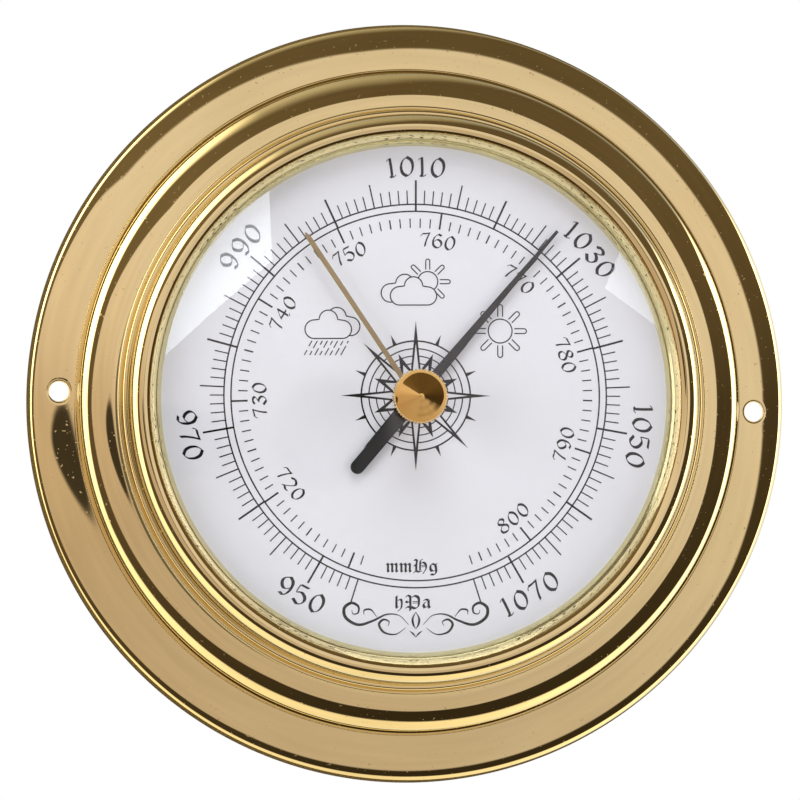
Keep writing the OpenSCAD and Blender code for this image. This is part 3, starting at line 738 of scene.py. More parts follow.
@dataclass
class Glass:
    """Domed glass with a ground rim and a hole for the bush."""

    rim_r: float = 39.7
    rim_z: float = 17.4
    thick: float = 1.6
    rise: float = 3.4
    hole_r: float = 1.8
    outer_r: float = 38.9
    inner_r: float = 38.3

    def dome(self, rim: float, low: float) -> np.ndarray:
        """Line of a dome: h = low + sqrt(R^2 - r^2) - R + rise, with R = (rim^2 + rise^2) / (2 rise)."""
        big = (rim**2 + self.rise**2) / (2 * self.rise)
        r = np.linspace(rim, self.hole_r, 40)
        return np.stack([r, low + np.sqrt(big**2 - r**2) - big + self.rise], axis=-1)

    def build(self) -> None:
        """Builds the glass as one closed lathe profile."""
        top = self.rim_z + self.thick
        edge = np.array([[self.rim_r, self.rim_z], [self.rim_r, top]])
        domes = self.dome(self.outer_r, top), self.dome(self.inner_r, self.rim_z)[::-1]
        shape = Shape("domed_glass")
        shape.lathe(np.concatenate([edge, *domes]), 256)
        shape.build(GLASS, "case", "clear_glass", ("glass_lens",))


# Dial print


class Pen(Enum):
    """How the pen is held: nib angle in degrees, and the nib's width and thickness.

    Widths are shares of the figure's height.
    """

    BROAD = (40.0, 0.155, 0.045)
    FLAG = (-42.0, 0.13, 0.05)
    FINE = (40.0, 0.06, 0.04)
    TEXT = (40.0, 0.185, 0.05)

    def __call__(self, *hundredths: float) -> Stroke:
        """A stroke of this pen through points, given as x and y in hundredths of the figure's height."""
        return self, np.reshape(hundredths, (-1, 2)) / 100


Stroke = tuple[Pen, np.ndarray]

GLYPHS: dict[str, tuple[int, tuple[Stroke, ...]]] = {
    "0": (68, (
        Pen.BROAD(36, 95.5, 15, 79, 6, 49, 13, 20, 34, 4.5),
        Pen.BROAD(33, 96.5, 55, 80, 62, 52, 54, 22, 34, 4.5),
    )),
    "1": (46, (
        Pen.FINE(2, 80, 9, 88, 20, 94),
        Pen.BROAD(19, 93, 22, 50, 23, 10),
        Pen.BROAD(14, 10, 25, 4.5),
        Pen.FINE(25, 3, 33, 6, 42, 14),
    )),
    "2": (70, (
        Pen.FLAG(8, 78, 30, 93),
        Pen.BROAD(30, 94, 52, 86, 62, 70, 45, 42, 22, 18, 6, 5),
        Pen.BROAD(6, 6, 24, 12, 42, 5, 62, 8),
    )),
    "3": (68, (
        Pen.FLAG(13, 80, 33, 94),
        Pen.BROAD(32, 94, 50, 90, 59, 79, 46, 65, 28, 56),
        Pen.BROAD(28, 56, 48, 50, 61, 34, 52, 13, 33, 3.5),
        Pen.BROAD(7, 24, 33, 4.5),
    )),
    "4": (74, (
        Pen.FINE(47, 93, 25, 66, 6, 41),
        Pen.BROAD(5, 40, 69, 40),
        Pen.BROAD(46, 93, 47, 50, 46, 10),
        Pen.FINE(46, 5, 55, 5, 64, 13),
    )),
    "5": (66, (
        Pen.BROAD(10, 93, 52, 94.5),
        Pen.FINE(8, 93, 6, 72, 6, 52),
        Pen.BROAD(9, 54, 30, 62, 52, 50, 59, 30, 48, 11, 30, 4),
        Pen.BROAD(6, 19, 31, 4.5),
    )),
    "6": (70, (
        Pen.BROAD(34, 95.5, 57, 86),
        Pen.BROAD(37, 95, 15, 74, 6, 44, 14, 17, 35, 4),
        Pen.BROAD(13, 44, 33, 59, 55, 50, 63, 32, 54, 13, 36, 4),
    )),
    "7": (64, (
        Pen.FINE(2, 70, 5, 79, 12, 87),
        Pen.BROAD(10, 88, 34, 90, 59, 95.5),
        Pen.BROAD(58, 95, 46, 66, 36, 34, 32, 6),
    )),
    "8": (70, (
        Pen.BROAD(36, 96, 18, 85, 16, 70, 36, 56, 58, 42, 62, 24, 50, 8, 34, 4),
        Pen.BROAD(34, 96, 53, 88, 57, 74, 44, 60, 22, 46, 7, 30, 13, 11, 34, 4),
    )),
    "9": (70, (
        Pen.BROAD(35, 96.5, 14, 82, 8, 64, 18, 44, 34, 34),
        Pen.FINE(33, 33, 46, 40, 58, 52),
        Pen.BROAD(33, 96.5, 55, 82, 63, 56, 60, 26, 46, 4.5),
        Pen.BROAD(24, 10, 46, 5),
    )),
    "m": (74, (
        Pen.TEXT(1, 60, 10, 51, 10, 12, 17, 4),
        Pen.TEXT(30, 60, 39, 51, 39, 12, 46, 4),
        Pen.TEXT(59, 60, 68, 51, 68, 12, 75, 4),
        Pen.FINE(13, 50, 33, 60),
        Pen.FINE(42, 50, 62, 60),
    )),
    "H": (92, (
        Pen.BROAD(2, 78, 12, 87, 26, 80),
        Pen.TEXT(25, 80, 20, 45, 20, 12),
        Pen.BROAD(3, 42, 10, 50, 20, 44),
        Pen.BROAD(2, -6, 12, 7, 22, 10),
        Pen.BROAD(64, 90, 49, 78, 46, 45, 46, 12),
        Pen.BROAD(20, 10, 38, 3, 58, 10),
        Pen.BROAD(50, 58, 68, 68, 84, 55, 87, 26, 66, -10),
        Pen.FINE(54, 48, 80, 48),
        Pen.FINE(54, 38, 80, 38),
    )),
    "g": (56, (
        Pen.TEXT(22, 60, 8, 46, 8, 20, 20, 8),
        Pen.TEXT(40, 54, 45, 30, 46, 0, 33, -15, 9, -13),
        Pen.BROAD(20, 60, 36, 53, 53, 62),
        Pen.FINE(20, 7, 44, 15),
    )),
    "h": (50, (
        Pen.FINE(2, 70, 15, 82),
        Pen.TEXT(9, 74, 9, 12, 16, 4),
        Pen.BROAD(18, 50, 36, 57, 43, 36, 38, 0, 17, -18),
    )),
    "P": (94, (
        Pen.BROAD(2, 70, 15, 82, 32, 75),
        Pen.TEXT(32, 76, 32, 30, 32, -14),
        Pen.BROAD(3, 46, 13, 38, 29, 45),
        Pen.BROAD(0, -1, 13, 10, 28, 7),
        Pen.TEXT(42, 70, 60, 80, 83, 68, 87, 38, 82, 12, 62, 0, 36, 9),
        Pen.FINE(46, 44, 80, 44),
        Pen.FINE(46, 34, 80, 34),
    )),
    "a": (52, (
        Pen.BROAD(5, 48, 22, 57, 38, 50),
        Pen.TEXT(22, 42, 6, 24, 14, 3),
        Pen.TEXT(39, 50, 40, 12, 48, 3),
        Pen.FINE(15, 3, 36, 15),
    )),
}


def pen_edges(path: np.ndarray, pen: Pen) -> tuple[np.ndarray, np.ndarray]:
    """Edges of the stroke that a flat oval nib leaves.

    The nib is an ellipse with half axes A along the unit vector p and B along q. Its
    point furthest along a normal n is (A^2 (n.p) p + B^2 (n.q) q) / sqrt(A^2 (n.p)^2 + B^2 (n.q)^2),
    and the edges run at plus and minus that point from the path.

    Args:
        path: Middle line of the stroke, in shares of the figure's height.
        pen: How the pen is held.

    Returns:
        The left and the right edge.
    """
    angle, wide, thin = pen.value
    along = heading(angle)
    across = np.array([-along[1], along[0]])
    n = normals(path, False)
    a, b = (wide / 2) ** 2 * (n @ along), (thin / 2) ** 2 * (n @ across)
    reach = np.sqrt((wide / 2 * (n @ along)) ** 2 + (thin / 2 * (n @ across)) ** 2)
    offset = (a[:, None] * along + b[:, None] * across) / reach[:, None]
    return path + offset, path - offset


@dataclass
class Print(Shape):
    """A group of the dial's print, drawn in print units of 0.1488 mm.

    Clock angles run clockwise from the top, in degrees.
    """

    unit: ClassVar[float] = 0.1488
    shift: ClassVar[Point] = (0.12, 0.46)
    face_h: ClassVar[float] = 16.0
    ink_t: ClassVar[float] = 0.02
    sunk: ClassVar[float] = 0.01

    def polar(self, r: np.ndarray | float, clock: np.ndarray) -> np.ndarray:
        """Points at a radius and a clock angle."""
        a = np.radians(clock)
        return np.stack([r * np.sin(a), r * np.cos(a)], axis=-1)

    def line(self, path: np.ndarray, width: float | np.ndarray, closed: bool = False) -> None:
        """Adds a printed line along a path."""
        half = np.reshape(np.broadcast_to(width, len(path)), (-1, 1)) / 2 * normals(path, closed)
        self.ink(path + half, path - half, closed)

    def ink(self, left: np.ndarray, right: np.ndarray, closed: bool = False) -> None:
        """Adds a band of print between two edges, sunk a little into the dial."""
        left, right = (edge * self.unit + self.shift for edge in (left, right))
        self.band(left, right, self.face_h - self.sunk, self.face_h + self.ink_t, closed)

    def ticks(self, clocks: np.ndarray, low: float, high: float, width: float) -> None:
        """Adds a radial tick at each clock angle, from radius low to high."""
        for clock in clocks:
            up, side = clockwise(clock)
            ends = np.array([[low], [high]]) * up
            self.ink(ends - side * width / 2, ends + side * width / 2)

    def middles(self, text: str, gap: float) -> np.ndarray:
        """Place of the middle of each sign along a text, from the text's own middle.

        Args:
            text: Signs to write.
            gap: Gap between two signs, as a share of their height.

        Returns:
            The places as shares of the height.
        """
        widths = np.array([GLYPHS[sign][0] for sign in text]) / 100
        starts = np.concatenate([[0], np.cumsum(widths + gap)[:-1]])
        return starts + widths / 2 - (widths.sum() + gap * (len(text) - 1)) / 2

    def word(self, text: str, clock: float, r: float, height: float, inward: bool, gap: float) -> None:
        """Adds figures along a circle.

        Args:
            text: Figures to write.
            clock: Clock angle of the middle.
            r: Radius of the figures' middle.
            height: Height of the figures.
            inward: Whether the tops point to the dial's middle.
            gap: Gap between two figures, as a share of the height.
        """
        sense = -1 if inward else 1
        for sign, middle in zip(text, self.middles(text, gap)):
            out, _ = clockwise(clock + sense * math.degrees(middle * height / r))
            self.sign(sign, r * out, sense * out, height)

    def sign(self, sign: str, middle: np.ndarray, up: np.ndarray, height: float) -> None:
        """Adds one figure or letter round its middle, with its top towards a unit vector."""
        width, strokes = GLYPHS[sign]
        frame = np.array([[up[1], -up[0]], up])
        for pen, points in strokes:
            edges = pen_edges(spline(points, 10), pen)
            left, right = (middle + height * (edge - (width / 200, 0.5)) @ frame for edge in edges)
            self.ink(left, right)

    def spoke(self, clock: float, root: float, tip: float, half: float, heart: float) -> None:
        """Adds one point of the rose: two bands from the root to the tip, open between them to the heart.

        Args:
            clock: Clock angle of the point.
            root: Radius where the bands start.
            tip: Radius where they meet in a point.
            half: Half width of the point at its root.
            heart: Radius where the opening between them ends.
        """
        r = np.array([[root], [heart], [tip]])
        outer = half * (tip - r) / (tip - root) + 0.08
        inner = np.array([[max(half - 1.75, 0.9)], [0.0], [0.0]])
        up, side = clockwise(clock)
        for sense in (-1, 1):
            self.ink(r * up + sense * outer * side, r * up + sense * inner * side)

    def cloud(self, x: float, y: float, width: float) -> None:
        """Adds a cloud outline of three round lobes on a flat base, centred between its side lobes."""
        lobes = [
            arc((x - 14.0, y), 9.2, 270, 92, 24),
            arc((x, y + 9.9), 9.1, 180, 0, 24),
            arc((x + 14.0, y), 9.0, 88, -90, 24),
        ]
        self.line(np.concatenate(lobes), width, True)

    def rays(self, middle: Point, angles: range, low: float, high: float, half: float) -> None:
        """Adds open U-shaped sun rays round a middle, from radius low to high."""
        path = np.concatenate([[[low, half]], arc((high - half, 0), half, 90, -90, 9), [[low, -half]]])
        for angle in angles:
            c, s = heading(angle)
            self.line(path @ [[c, s], [-s, c]] + middle, 1.15)


@dataclass
class Dial:
    """Print of the dial: two scales with figures, compass rose, weather signs, units and a flourish."""

    zero_hpa: float = 1010.0
    per_hpa: float = 2.5
    mercury: float = 1.33322
    first_hpa: int = 945
    last_hpa: int = 1075
    first_mm: int = 709
    last_mm: int = 806

    def hpa_angle(self, value: float) -> float:
        """Clock angle of a pressure in hectopascals."""
        return (value - self.zero_hpa) * self.per_hpa

    def mm_angle(self, value: float) -> float:
        """Clock angle of a pressure in millimetres of mercury."""
        return self.hpa_angle(value * self.mercury)

    def scales(self, group: Print) -> None:
        """Builds both circles and all ticks of the two scales.

        A kind of tick is its inner radius, its outer radius and its width.
        """
        edge, inner_edge, foot = 190.4, 183.4, 167.0
        for r in (edge, inner_edge):
            group.line(circle((0, 0), r, 360), 1.45, True)
        hpa = np.arange(self.first_hpa, self.last_hpa + 1)
        mercury = np.arange(self.first_mm, self.last_mm + 1)
        for values, angle, plain, five, ten in (
            (hpa, self.hpa_angle, (edge, 204.3, 1.15), (edge, 214.3, 1.35), (183.5, 214.3, 1.95)),
            (mercury, self.mm_angle, (foot, 176.2, 1.15), (foot, 176.2, 1.45), (foot, inner_edge, 1.8)),
        ):
            tens, fives = values % 10 == 0, values % 10 == 5
            for chosen, (low, high, width) in ((~tens & ~fives, plain), (fives, five), (tens, ten)):
                group.ticks(angle(values[chosen]), low, high, width)

    def figures(self, group: Print) -> None:
        """Builds the figures of both scales."""
        outer_r, outer_size, outer_gap = 228.0, 21.0, 0.17
        inner_r, inner_size, inner_gap, first_r = 155.5, 15.2, 0.14, 152.4
        for value in range(950, 1071, 20):
            inward = value in (950, 970, 1070)
            group.word(str(value), self.hpa_angle(value), outer_r, outer_size, inward, outer_gap)
        for value in range(720, 801, 10):
            inward = value in (720, 790, 800)
            r = first_r if value == 720 else inner_r
            group.word(str(value), self.mm_angle(value), r, inner_size, inward, inner_gap)

    def units(self, group: Print) -> None:
        """Builds the unit signs under the two scales, each upright along a straight line."""
        texts = (("mmHg", -3.8, -167.9, 14.5, 0.18), ("hPa", -3.0, -203.0, 15.5, 0.16))
        for text, x, y, height, gap in texts:
            for sign, middle in zip(text, group.middles(text, gap)):
                group.sign(sign, np.array([x + middle * height, y]), np.array([0.0, 1.0]), height)

    def rose(self, group: Print) -> None:
        """Builds the compass rose: four broken circles, eight long and eight short points, eight spikes.

        A circle is broken where it meets a point, whose width falls from the root to the tip.
        """
        root, tip, reach, widest = 19.0, 74.0, 53.0, 5.2
        for r, width, short in ((54.3, 1.6, 0.0), (46.7, 1.25, 0.0), (39.4, 1.15, 1.6), (32.0, 1.15, 3.6)):
            long_gap = math.degrees(widest * (tip - r) / reach / r)
            short_gap = math.degrees(short / r)
            for start in range(0, 360, 45):
                first, middle, last = start + long_gap, start + 22.5, start + 45 - long_gap
                broken = [(first, middle - short_gap), (middle + short_gap, last)]
                for low, high in broken if short else [(first, last)]:
                    group.line(group.polar(r, np.linspace(low, high, 14)), width)
        spike_r, spike_w = np.array([[54.0], [65.0]]), np.array([[2.0], [0.08]])
        for k in range(8):
            group.spoke(45 * k, root, tip if k % 2 == 0 else tip - 1, 5.4, 52.0)
            group.spoke(45 * k + 22.5, root, 44.5, 7.2, 33.0)
            up, side = clockwise(45 * k + 22.5)
            group.ink(spike_r * up - spike_w * side, spike_r * up + spike_w * side)

    def signs(self, group: Print) -> None:
        """Builds the three weather signs: rain cloud, sun behind a cloud and sun."""
        sun, half_sun, thick = (84.2, 64.6), (11.9, 113.5), 1.2
        group.cloud(-87.0, 65.6, thick)
        group.cloud(-2.2, 99.2, thick)
        for path in (
            [arc((-78.5, 78.2), 9.1, 138, 5, 18), arc((-64.9, 68.6), 9.2, 88, -100, 24)],
            [arc((-11.0, 111.7), 9.0, 46, 178, 18), arc((-25.3, 102.0), 9.2, 88, 280, 24)],
            [arc(half_sun, 10.0, 161, -50, 32)],
        ):
            group.line(np.concatenate(path), thick)
        group.line(circle(sun, 11.9, 48), thick, True)
        group.rays(half_sun, range(135, -46, -45), 12.0, 22.4, 2.0)
        group.rays(sun, range(0, 360, 45), 14.2, 26.3, 2.4)
        columns = np.array([0.0, 5.4, 10.4, 15.4, 20.4, 25.5, 30.8, 36.2]) - 103.3
        upper = (-5.3, -7.2, -4.0, -6.8, -4.0, -6.8, -4.5, -2.3)
        lower = (5.0, 4.0, 6.8, 4.3, 7.1, 4.7, 7.1, 9.2)
        slant, rain_w = 0.56, 1.1
        for column, down, up in zip(columns, upper, lower):
            for x, y, rise in ((column, 54.1, down), (column - 7.6, 39.9, up)):
                group.line(np.array([[x, y], [x + slant * rise, y + rise]]), rain_w)

    def flourish(self, group: Print) -> None:
        """Builds a scrolled flourish along the foot of the dial, the same to both sides.

        A stroke's width swells from both ends: thin + (thick - thin) sin(pi t)^1.5. A point at
        (s, v) lies s along the circle and v towards the dial's middle, both in shares of scale.
        A stroke is its greatest width and its points.
        """
        foot_r, bend_r, scale, thin = 227.0, 228.0, 20.5, 0.5
        strokes = (
            (3.1, (0.35, 0, 0.85, 0.42, 1.5, 0.4, 2.1, 0, 2.75, -0.34, 3.4, -0.18, 3.62, 0.24)
             + (3.36, 0.58, 2.98, 0.52, 2.9, 0.22, 3.12, 0.1, 3.24, 0.26)),
            (2.4, (0.5, -0.16, 0.95, -0.5, 1.5, -0.46, 1.78, -0.12, 1.6, 0.14, 1.32, 0.08, 1.34, -0.14)),
            (1.8, (1.95, 0.22, 2.3, 0.5, 2.62, 0.42, 2.6, 0.2)),
            (2.2, (0, 0.62, 0.16, 0.3, 0.12, 0, 0, -0.2)),
            (1.6, (0, -0.6, 0.14, -0.42, 0.3, -0.3)),
        )
        for side in (-1, 1):
            for thick, points in strokes:
                path = spline(np.reshape(points, (-1, 2)), 12) * [side, 1] * scale
                t = np.linspace(0, 1, len(path))
                curve = group.polar(foot_r - path[:, 1], 180 - np.degrees(path[:, 0] / bend_r))
                group.line(curve, thin + (thick - thin) * np.sin(np.pi * t) ** 1.5)

    def build(self) -> None:
        """Builds every group of the print."""
        draw = {
            "print_scales": self.scales,
            "print_figures": self.figures,
            "print_units": self.units,
            "print_rose": self.rose,
            "print_signs": self.signs,
            "print_flourish": self.flourish,
        }
        for name, method in draw.items():
            group = Print(name)
            method(group)
            group.build(DIAL_INK, "case", "black_lacquer")


# Hands and knob


@dataclass
class Hands:
    """Black pointer with its tail, and the brass set hand.

    A hub is its radius and its bore; root is where the pointer's blades start, inside its hub.
    """

    pointer_clock: float = 40.3
    pointer_z: float = 16.8
    pointer_len: float = 32.6
    pointer_w: float = 1.6
    tip_w: float = 0.46
    tail_len: float = 14.3
    tail_w: float = 2.05
    set_clock: float = -33.9
    set_z: float = 17.8
    set_len: float = 29.3
    set_w: float = 0.75
    set_tip_w: float = 0.24
    root: float = 0.7
    thick: float = 0.3
    edge: float = 0.05
    set_edge: float = 0.06
    pointer_hub: Point = (2.4, 0.6)
    set_hub: Point = (2.0, 1.0)

    def blade(
        self, shape: Shape, clock: float, s: np.ndarray, half: np.ndarray, low: float, edge: float
    ) -> None:
        """Adds a flat blade: an eight-cornered section with broken edges, carried out from the axis.

        Args:
            shape: Shape that it is added to.
            clock: Clock angle that it points at.
            s: Distance of each section from the axis; negative on the tail.
            half: Half width of each section.
            low: Height of the underside.
            edge: Size of the broken edges.
        """
        b = np.minimum(edge, half * 0.45)
        foot, top = 0 * b, 0 * b + self.thick
        x = np.stack([-half + b, half - b, half, half, half - b, -half + b, -half, -half], axis=-1)
        h = low + np.stack([foot, foot, b, top - b, top, top, top - b, b], axis=-1)
        (out_x, out_y), (side_x, side_y) = clockwise(clock)
        y = s[:, None]
        shape.tube(place(x * side_x + y * out_x, x * side_y + y * out_y, h))

    def hub(self, shape: Shape, radius: float, bore: float, low: float) -> None:
        """Adds the round hub with its bore and broken edges."""
        top, e = low + self.thick, self.edge
        rim = [[radius - e, top], [radius, top - e], [radius, low + e], [radius - e, low]]
        shape.lathe(np.array([[bore, low], [bore, top], *rim]), 96)

    def pointer(self) -> None:
        """Builds the pointer; its blade narrows to the tip and its tail ends round."""
        shape = Shape("pointer_blade")
        s = np.linspace(self.root, self.pointer_len, 12)
        half = np.interp(s, [0, self.pointer_len], [self.pointer_w / 2, self.tip_w / 2])
        self.blade(shape, self.pointer_clock, s, half, self.pointer_z, self.edge)
        r = self.tail_w / 2
        a = np.radians(np.linspace(8, 90, 10))
        tail_s = np.concatenate([-self.tail_len + r - r * np.cos(a), [-self.root]])
        tail_half = np.concatenate([r * np.sin(a), [r]])
        self.blade(shape, self.pointer_clock, tail_s, tail_half, self.pointer_z, self.edge)
        self.hub(shape, *self.pointer_hub, self.pointer_z)
        shape.build(BLACK_LACQUER, "hand", "black_lacquer", ("pointer",))

    def set_hand(self) -> None:
        """Builds the set hand with a short pointed tip."""
        shape = Shape("set_hand_blade")
        s = np.array([1.1, 8.0, 16.0, 24.0, self.set_len - 0.9, self.set_len])
        half = np.full(6, self.set_w / 2)
        half[-1] = self.set_tip_w / 2
        self.blade(shape, self.set_clock, s, half, self.set_z, self.set_edge)
        self.hub(shape, *self.set_hub, self.set_z)
        shape.build(HAND_BRASS, "set_group", "hand_brass", ("set_hand",))

    def build(self) -> None:
        """Builds both hands."""
        self.pointer()
        self.set_hand()


@dataclass
class Knob:
    """Knurled knob with a turned cone on its face."""

    low: float = 23.6
    height: float = 4.8
    radius: float = 4.05
    cone: float = 1.75
    skirt: float = 0.8
    teeth: int = 58
    depth: float = 0.2
    bore: float = 1.0
    bore_depth: float = 2.8

    def build(self) -> None:
        """Builds the knob: a lathe profile whose edge carries the knurl.

        A row of the rim is a radius, a height and the share of the knurl's depth that it takes.
        """
        chamfer, lip, foot = 0.22, 0.4, 0.08
        top, base, skirt = self.height - self.cone, self.radius - 1.0, self.skirt
        cone = np.stack([np.linspace(0, self.radius - lip, 9), np.linspace(self.height, top, 9)], axis=-1)
        rim = np.array([
            (self.radius - chamfer, top, 0.6),
            (self.radius, top - chamfer, 1.0),
            (self.radius, (top + skirt) / 2, 1.0),
            (self.radius, skirt + chamfer, 1.0),
            (self.radius - chamfer, skirt, 0.6),
            (base, skirt, 0.0),
            (base, foot, 0.0),
            (base - foot, 0.0, 0.0),
            (self.bore, 0.0, 0.0),
            (self.bore, self.bore_depth, 0.0),
            (0.0, self.bore_depth, 0.0),
        ])
        profile = np.concatenate([cone, rim[:, :2]]) + (0, self.low)
        wave = np.concatenate([np.zeros(len(cone)), rim[:, 2] * self.depth / self.radius])
        shape = Shape("knurled_knob")
        shape.lathe(profile, self.teeth * 8, wave, self.teeth)
        shape.build(TURNED_BRASS, "set_group", "turned_brass", ("knob",), crease=50.0)


# Frame nodes that keep their shape


KEPT_NODES = {
    CUP_BRASS: "rear_cup dial_seat_ring",
    MOVEMENT_BRASS: (
        "movement_base bridge_pillars lower_bridge bridge_spacers upper_bridge toothed_sector capsule_stud"
    ),
    CAPSULE_METAL: "capsule_lower capsule_upper capsule_head",
    STEEL: (
        "base_screws lever_bracket lever_pin main_lever link_pin link rocker_bracket bracket_screws "
        "rocking_shaft bridge_screws sector_arbor pinion_arbor hairspring_stud adjusting_screw "
        "friction_washer"
    ),
    BLUED_STEEL: "hairspring",
    TURNED_BRASS: "knob_spindle glass_bush bush_nut pointer_bush",
    RUBBER: "glass_gasket",
    FIBRE: "bush_washer",
    DIAL_WHITE: "dial_plate",
}


def finish_nodes(nodes: dict[str, bpy.types.Object]) -> None:
    """Gives the frame's movement, cup, dial plate and small turned parts their finishes."""
    for finish, names in KEPT_NODES.items():
        for name in names.split():
            slots = nodes[name].data.materials
            slots.clear()
            slots.append(finish.material())
            log.info("%s: finished as %s", name, finish.name)


# Studio


@dataclass(frozen=True)
class Side:
    """What stands towards one side of the studio: a pale screen in front, a dark gap and a bright wall.

    Angles are in degrees from straight in front of the dial.
    """

    screen_end: float
    gap_end: float
    blend: float
    screen: float
    gap: float
    wall: float
    warmth: float = 0.0


SIDES = (
    Side(46, 104, 3, 0.77, 0.06, 4.0),
    Side(45, 100, 3, 0.79, 0.11, 4.2),
    Side(45, 146, 5, 0.77, 0.13, 0.4),
    Side(43, 118, 10, 0.75, 0.12, 0.35),
    Side(39, 88, 20, 0.74, 0.12, 0.42),
    Side(42, 92, 20, 0.76, 0.14, 0.6),
    Side(43, 92, 6, 0.80, 0.18, 3.4),
    Side(72, 92, 3, 0.78, 0.16, 4.2, 0.08),
    Side(78, 94, 3, 0.62, 0.12, 2.6, 0.2),
    Side(72, 98, 3, 0.56, 0.10, 1.5, 0.22),
    Side(61, 90, 3, 0.55, 0.07, 1.35, 0.15),
    Side(50, 88, 3, 0.57, 0.045, 1.1, 0.12),
    Side(50, 85, 3, 0.58, 0.035, 1.0, 0.1),
    Side(52, 90, 3, 0.60, 0.035, 1.2, 0.06),
    Side(54, 98, 3, 0.62, 0.04, 1.7, 0.03),
    Side(54, 108, 3, 0.69, 0.05, 2.9),
)


class Surroundings(Graph):
    """World that is white for the camera, and a studio of screens for metal and glass.

    The angle from straight in front is arccos(-y) of the direction, in half turns, and its
    side is atan2(z, x) as a share of a turn from the right. Each number of SIDES is a ramp
    over the side, and the tone is the screen's, the gap's or the wall's by the angle.
    """

    screen_tint: Color = (1.0, 0.89, 0.89)
    warm_tint: Color = (1.0, 0.5, 0.0)
    gap_tint: Color = (1.0, 0.72, 0.42)
    wall_tint: Color = (1.0, 0.88, 0.68)
    lens_way: Triple = (-0.052, -0.998, -0.017)
    lens_angle: float = 5.5
    lens_blur: float = 0.0015
    lens_tone: Color = (0.13, 0.12, 0.1)
    card_middle: Point = (-0.39, -0.034)
    card_half: Point = (0.20, 0.068)
    card_blur: float = 0.15
    card_tone: Color = (0.05, 0.04, 0.03)
    screen_blend: float = 1.5
    rear_angle: float = 120.0
    rear_blend: float = 8.0
    rear_most: float = 0.9

    def __init__(self) -> None:
        """Starts the world, empty, and reads the direction in it."""
        world = bpy.data.worlds.new("studio")
        bpy.context.scene.world = world
        world.use_nodes = True
        world.node_tree.nodes.clear()
        super().__init__(world.node_tree)
        self.way = self.new("TexCoord").outputs["Generated"]
        x, y, z = self.new("SeparateXYZ", {0: self.way}).outputs
        ahead = self.calculate("ARCCOSINE", self.calculate("MULTIPLY", y, -1.0))
        self.angle = self.calculate("DIVIDE", ahead, math.pi)
        turn = self.calculate("DIVIDE", self.calculate("ARCTAN2", z, x), TURN)
        self.side = self.calculate("WRAP", turn, 1.0, 0.0)

    def over_sides(self, value_of: Callable[[Side], float]) -> Socket:
        """Ramp over the side through a value of each of SIDES, back to the first at the end."""
        ramp = self.new("ValToRGB", {"Fac": self.side})
        values = [value_of(one) for one in SIDES]
        stops = ramp.color_ramp.elements
        while len(stops) < len(values) + 1:
            stops.new(0.5)
        for number, stop in enumerate(stops):
            value = values[number % len(values)]
            stop.position, stop.color = number / len(values), (value, value, value, 1)
        return ramp.outputs[0]

    def passed(self, value: Socket, edge: object, width: object) -> Socket:
        """Rises smoothly from 0 to 1 where the value passes an edge, over its width to both sides."""
        share = self.calculate("DIVIDE", self.calculate("SUBTRACT", value, edge), width)
        given = {"Value": share, "From Min": -1.0, "From Max": 1.0}
        return self.new("MapRange", given, interpolation_type="SMOOTHSTEP").outputs["Result"]

    def mix(self, share: object, first: object, second: object, blend: str = "MIX") -> Socket:
        """Mixes two colours; a plain colour is red, green and blue."""
        first, second = ((*color, 1) if isinstance(color, tuple) else color for color in (first, second))
        given = {"Fac": share, "Color1": first, "Color2": second}
        return self.new("MixRGB", given, blend_type=blend).outputs[0]

    def vector(self, operation: str, given: Inputs) -> bpy.types.Node:
        """Adds a calculation with directions."""
        return self.new("VectorMath", given, operation=operation)

    def screen(self) -> Socket:
        """Tone of the pale screens, with the dark lens of the camera and a dark card before them."""
        tone = self.mix(1.0, self.over_sides(lambda one: one.screen), self.screen_tint, "MULTIPLY")
        tone = self.mix(self.over_sides(lambda one: one.warmth), tone, self.warm_tint, "MULTIPLY")
        lens = self.vector("DOT_PRODUCT", {0: self.way, 1: self.lens_way}).outputs["Value"]
        tone = self.mix(self.passed(lens, heading(self.lens_angle)[0], self.lens_blur), tone, self.lens_tone)
        away = self.vector("SUBTRACT", {0: self.way, 1: (self.card_middle[0], 0.0, self.card_middle[1])})
        stretch = (1 / self.card_half[0], 0.0, 1 / self.card_half[1])
        away = self.vector("MULTIPLY", {0: away.outputs[0], 1: stretch})
        reach = self.vector("LENGTH", {0: away.outputs[0]}).outputs["Value"]
        return self.mix(self.passed(reach, 1.0, self.card_blur), self.card_tone, tone)

    def build(self) -> None:
        """Joins screens, gap, walls and the part behind the object, with faint clouds over all."""
        gap = self.mix(1.0, self.over_sides(lambda one: one.gap), self.gap_tint, "MULTIPLY")
        wall = self.mix(1.0, self.over_sides(lambda one: one.wall), self.wall_tint, "MULTIPLY")
        screen_end = self.over_sides(lambda one: one.screen_end / 180)
        gap_end = self.over_sides(lambda one: one.gap_end / 180)
        blend = self.over_sides(lambda one: one.blend / 180)
        tone = self.mix(self.passed(self.angle, screen_end, self.screen_blend / 180), self.screen(), gap)
        tone = self.mix(self.passed(self.angle, gap_end, blend), tone, wall)
        rear = self.over_sides(lambda one: min(one.wall, self.rear_most))
        tone = self.mix(self.passed(self.angle, self.rear_angle / 180, self.rear_blend / 180), tone, rear)
        noise = self.new("TexNoise", {"Vector": self.way, "Scale": 5.0, "Detail": 3.0}).outputs[0]
        clouds = self.mapped(noise, from_min=0.3, from_max=0.7, to_min=0.94, to_max=1.06)
        tone = self.vector("SCALE", {0: tone, "Scale": clouds}).outputs[0]
        rays = self.new("LightPath").outputs
        seen = self.mix(rays["Is Camera Ray"], tone, (1, 1, 1))
        background = self.new("Background", {"Color": seen, "Strength": 1.0}).outputs[0]
        self.new("OutputWorld", {"Surface": background})


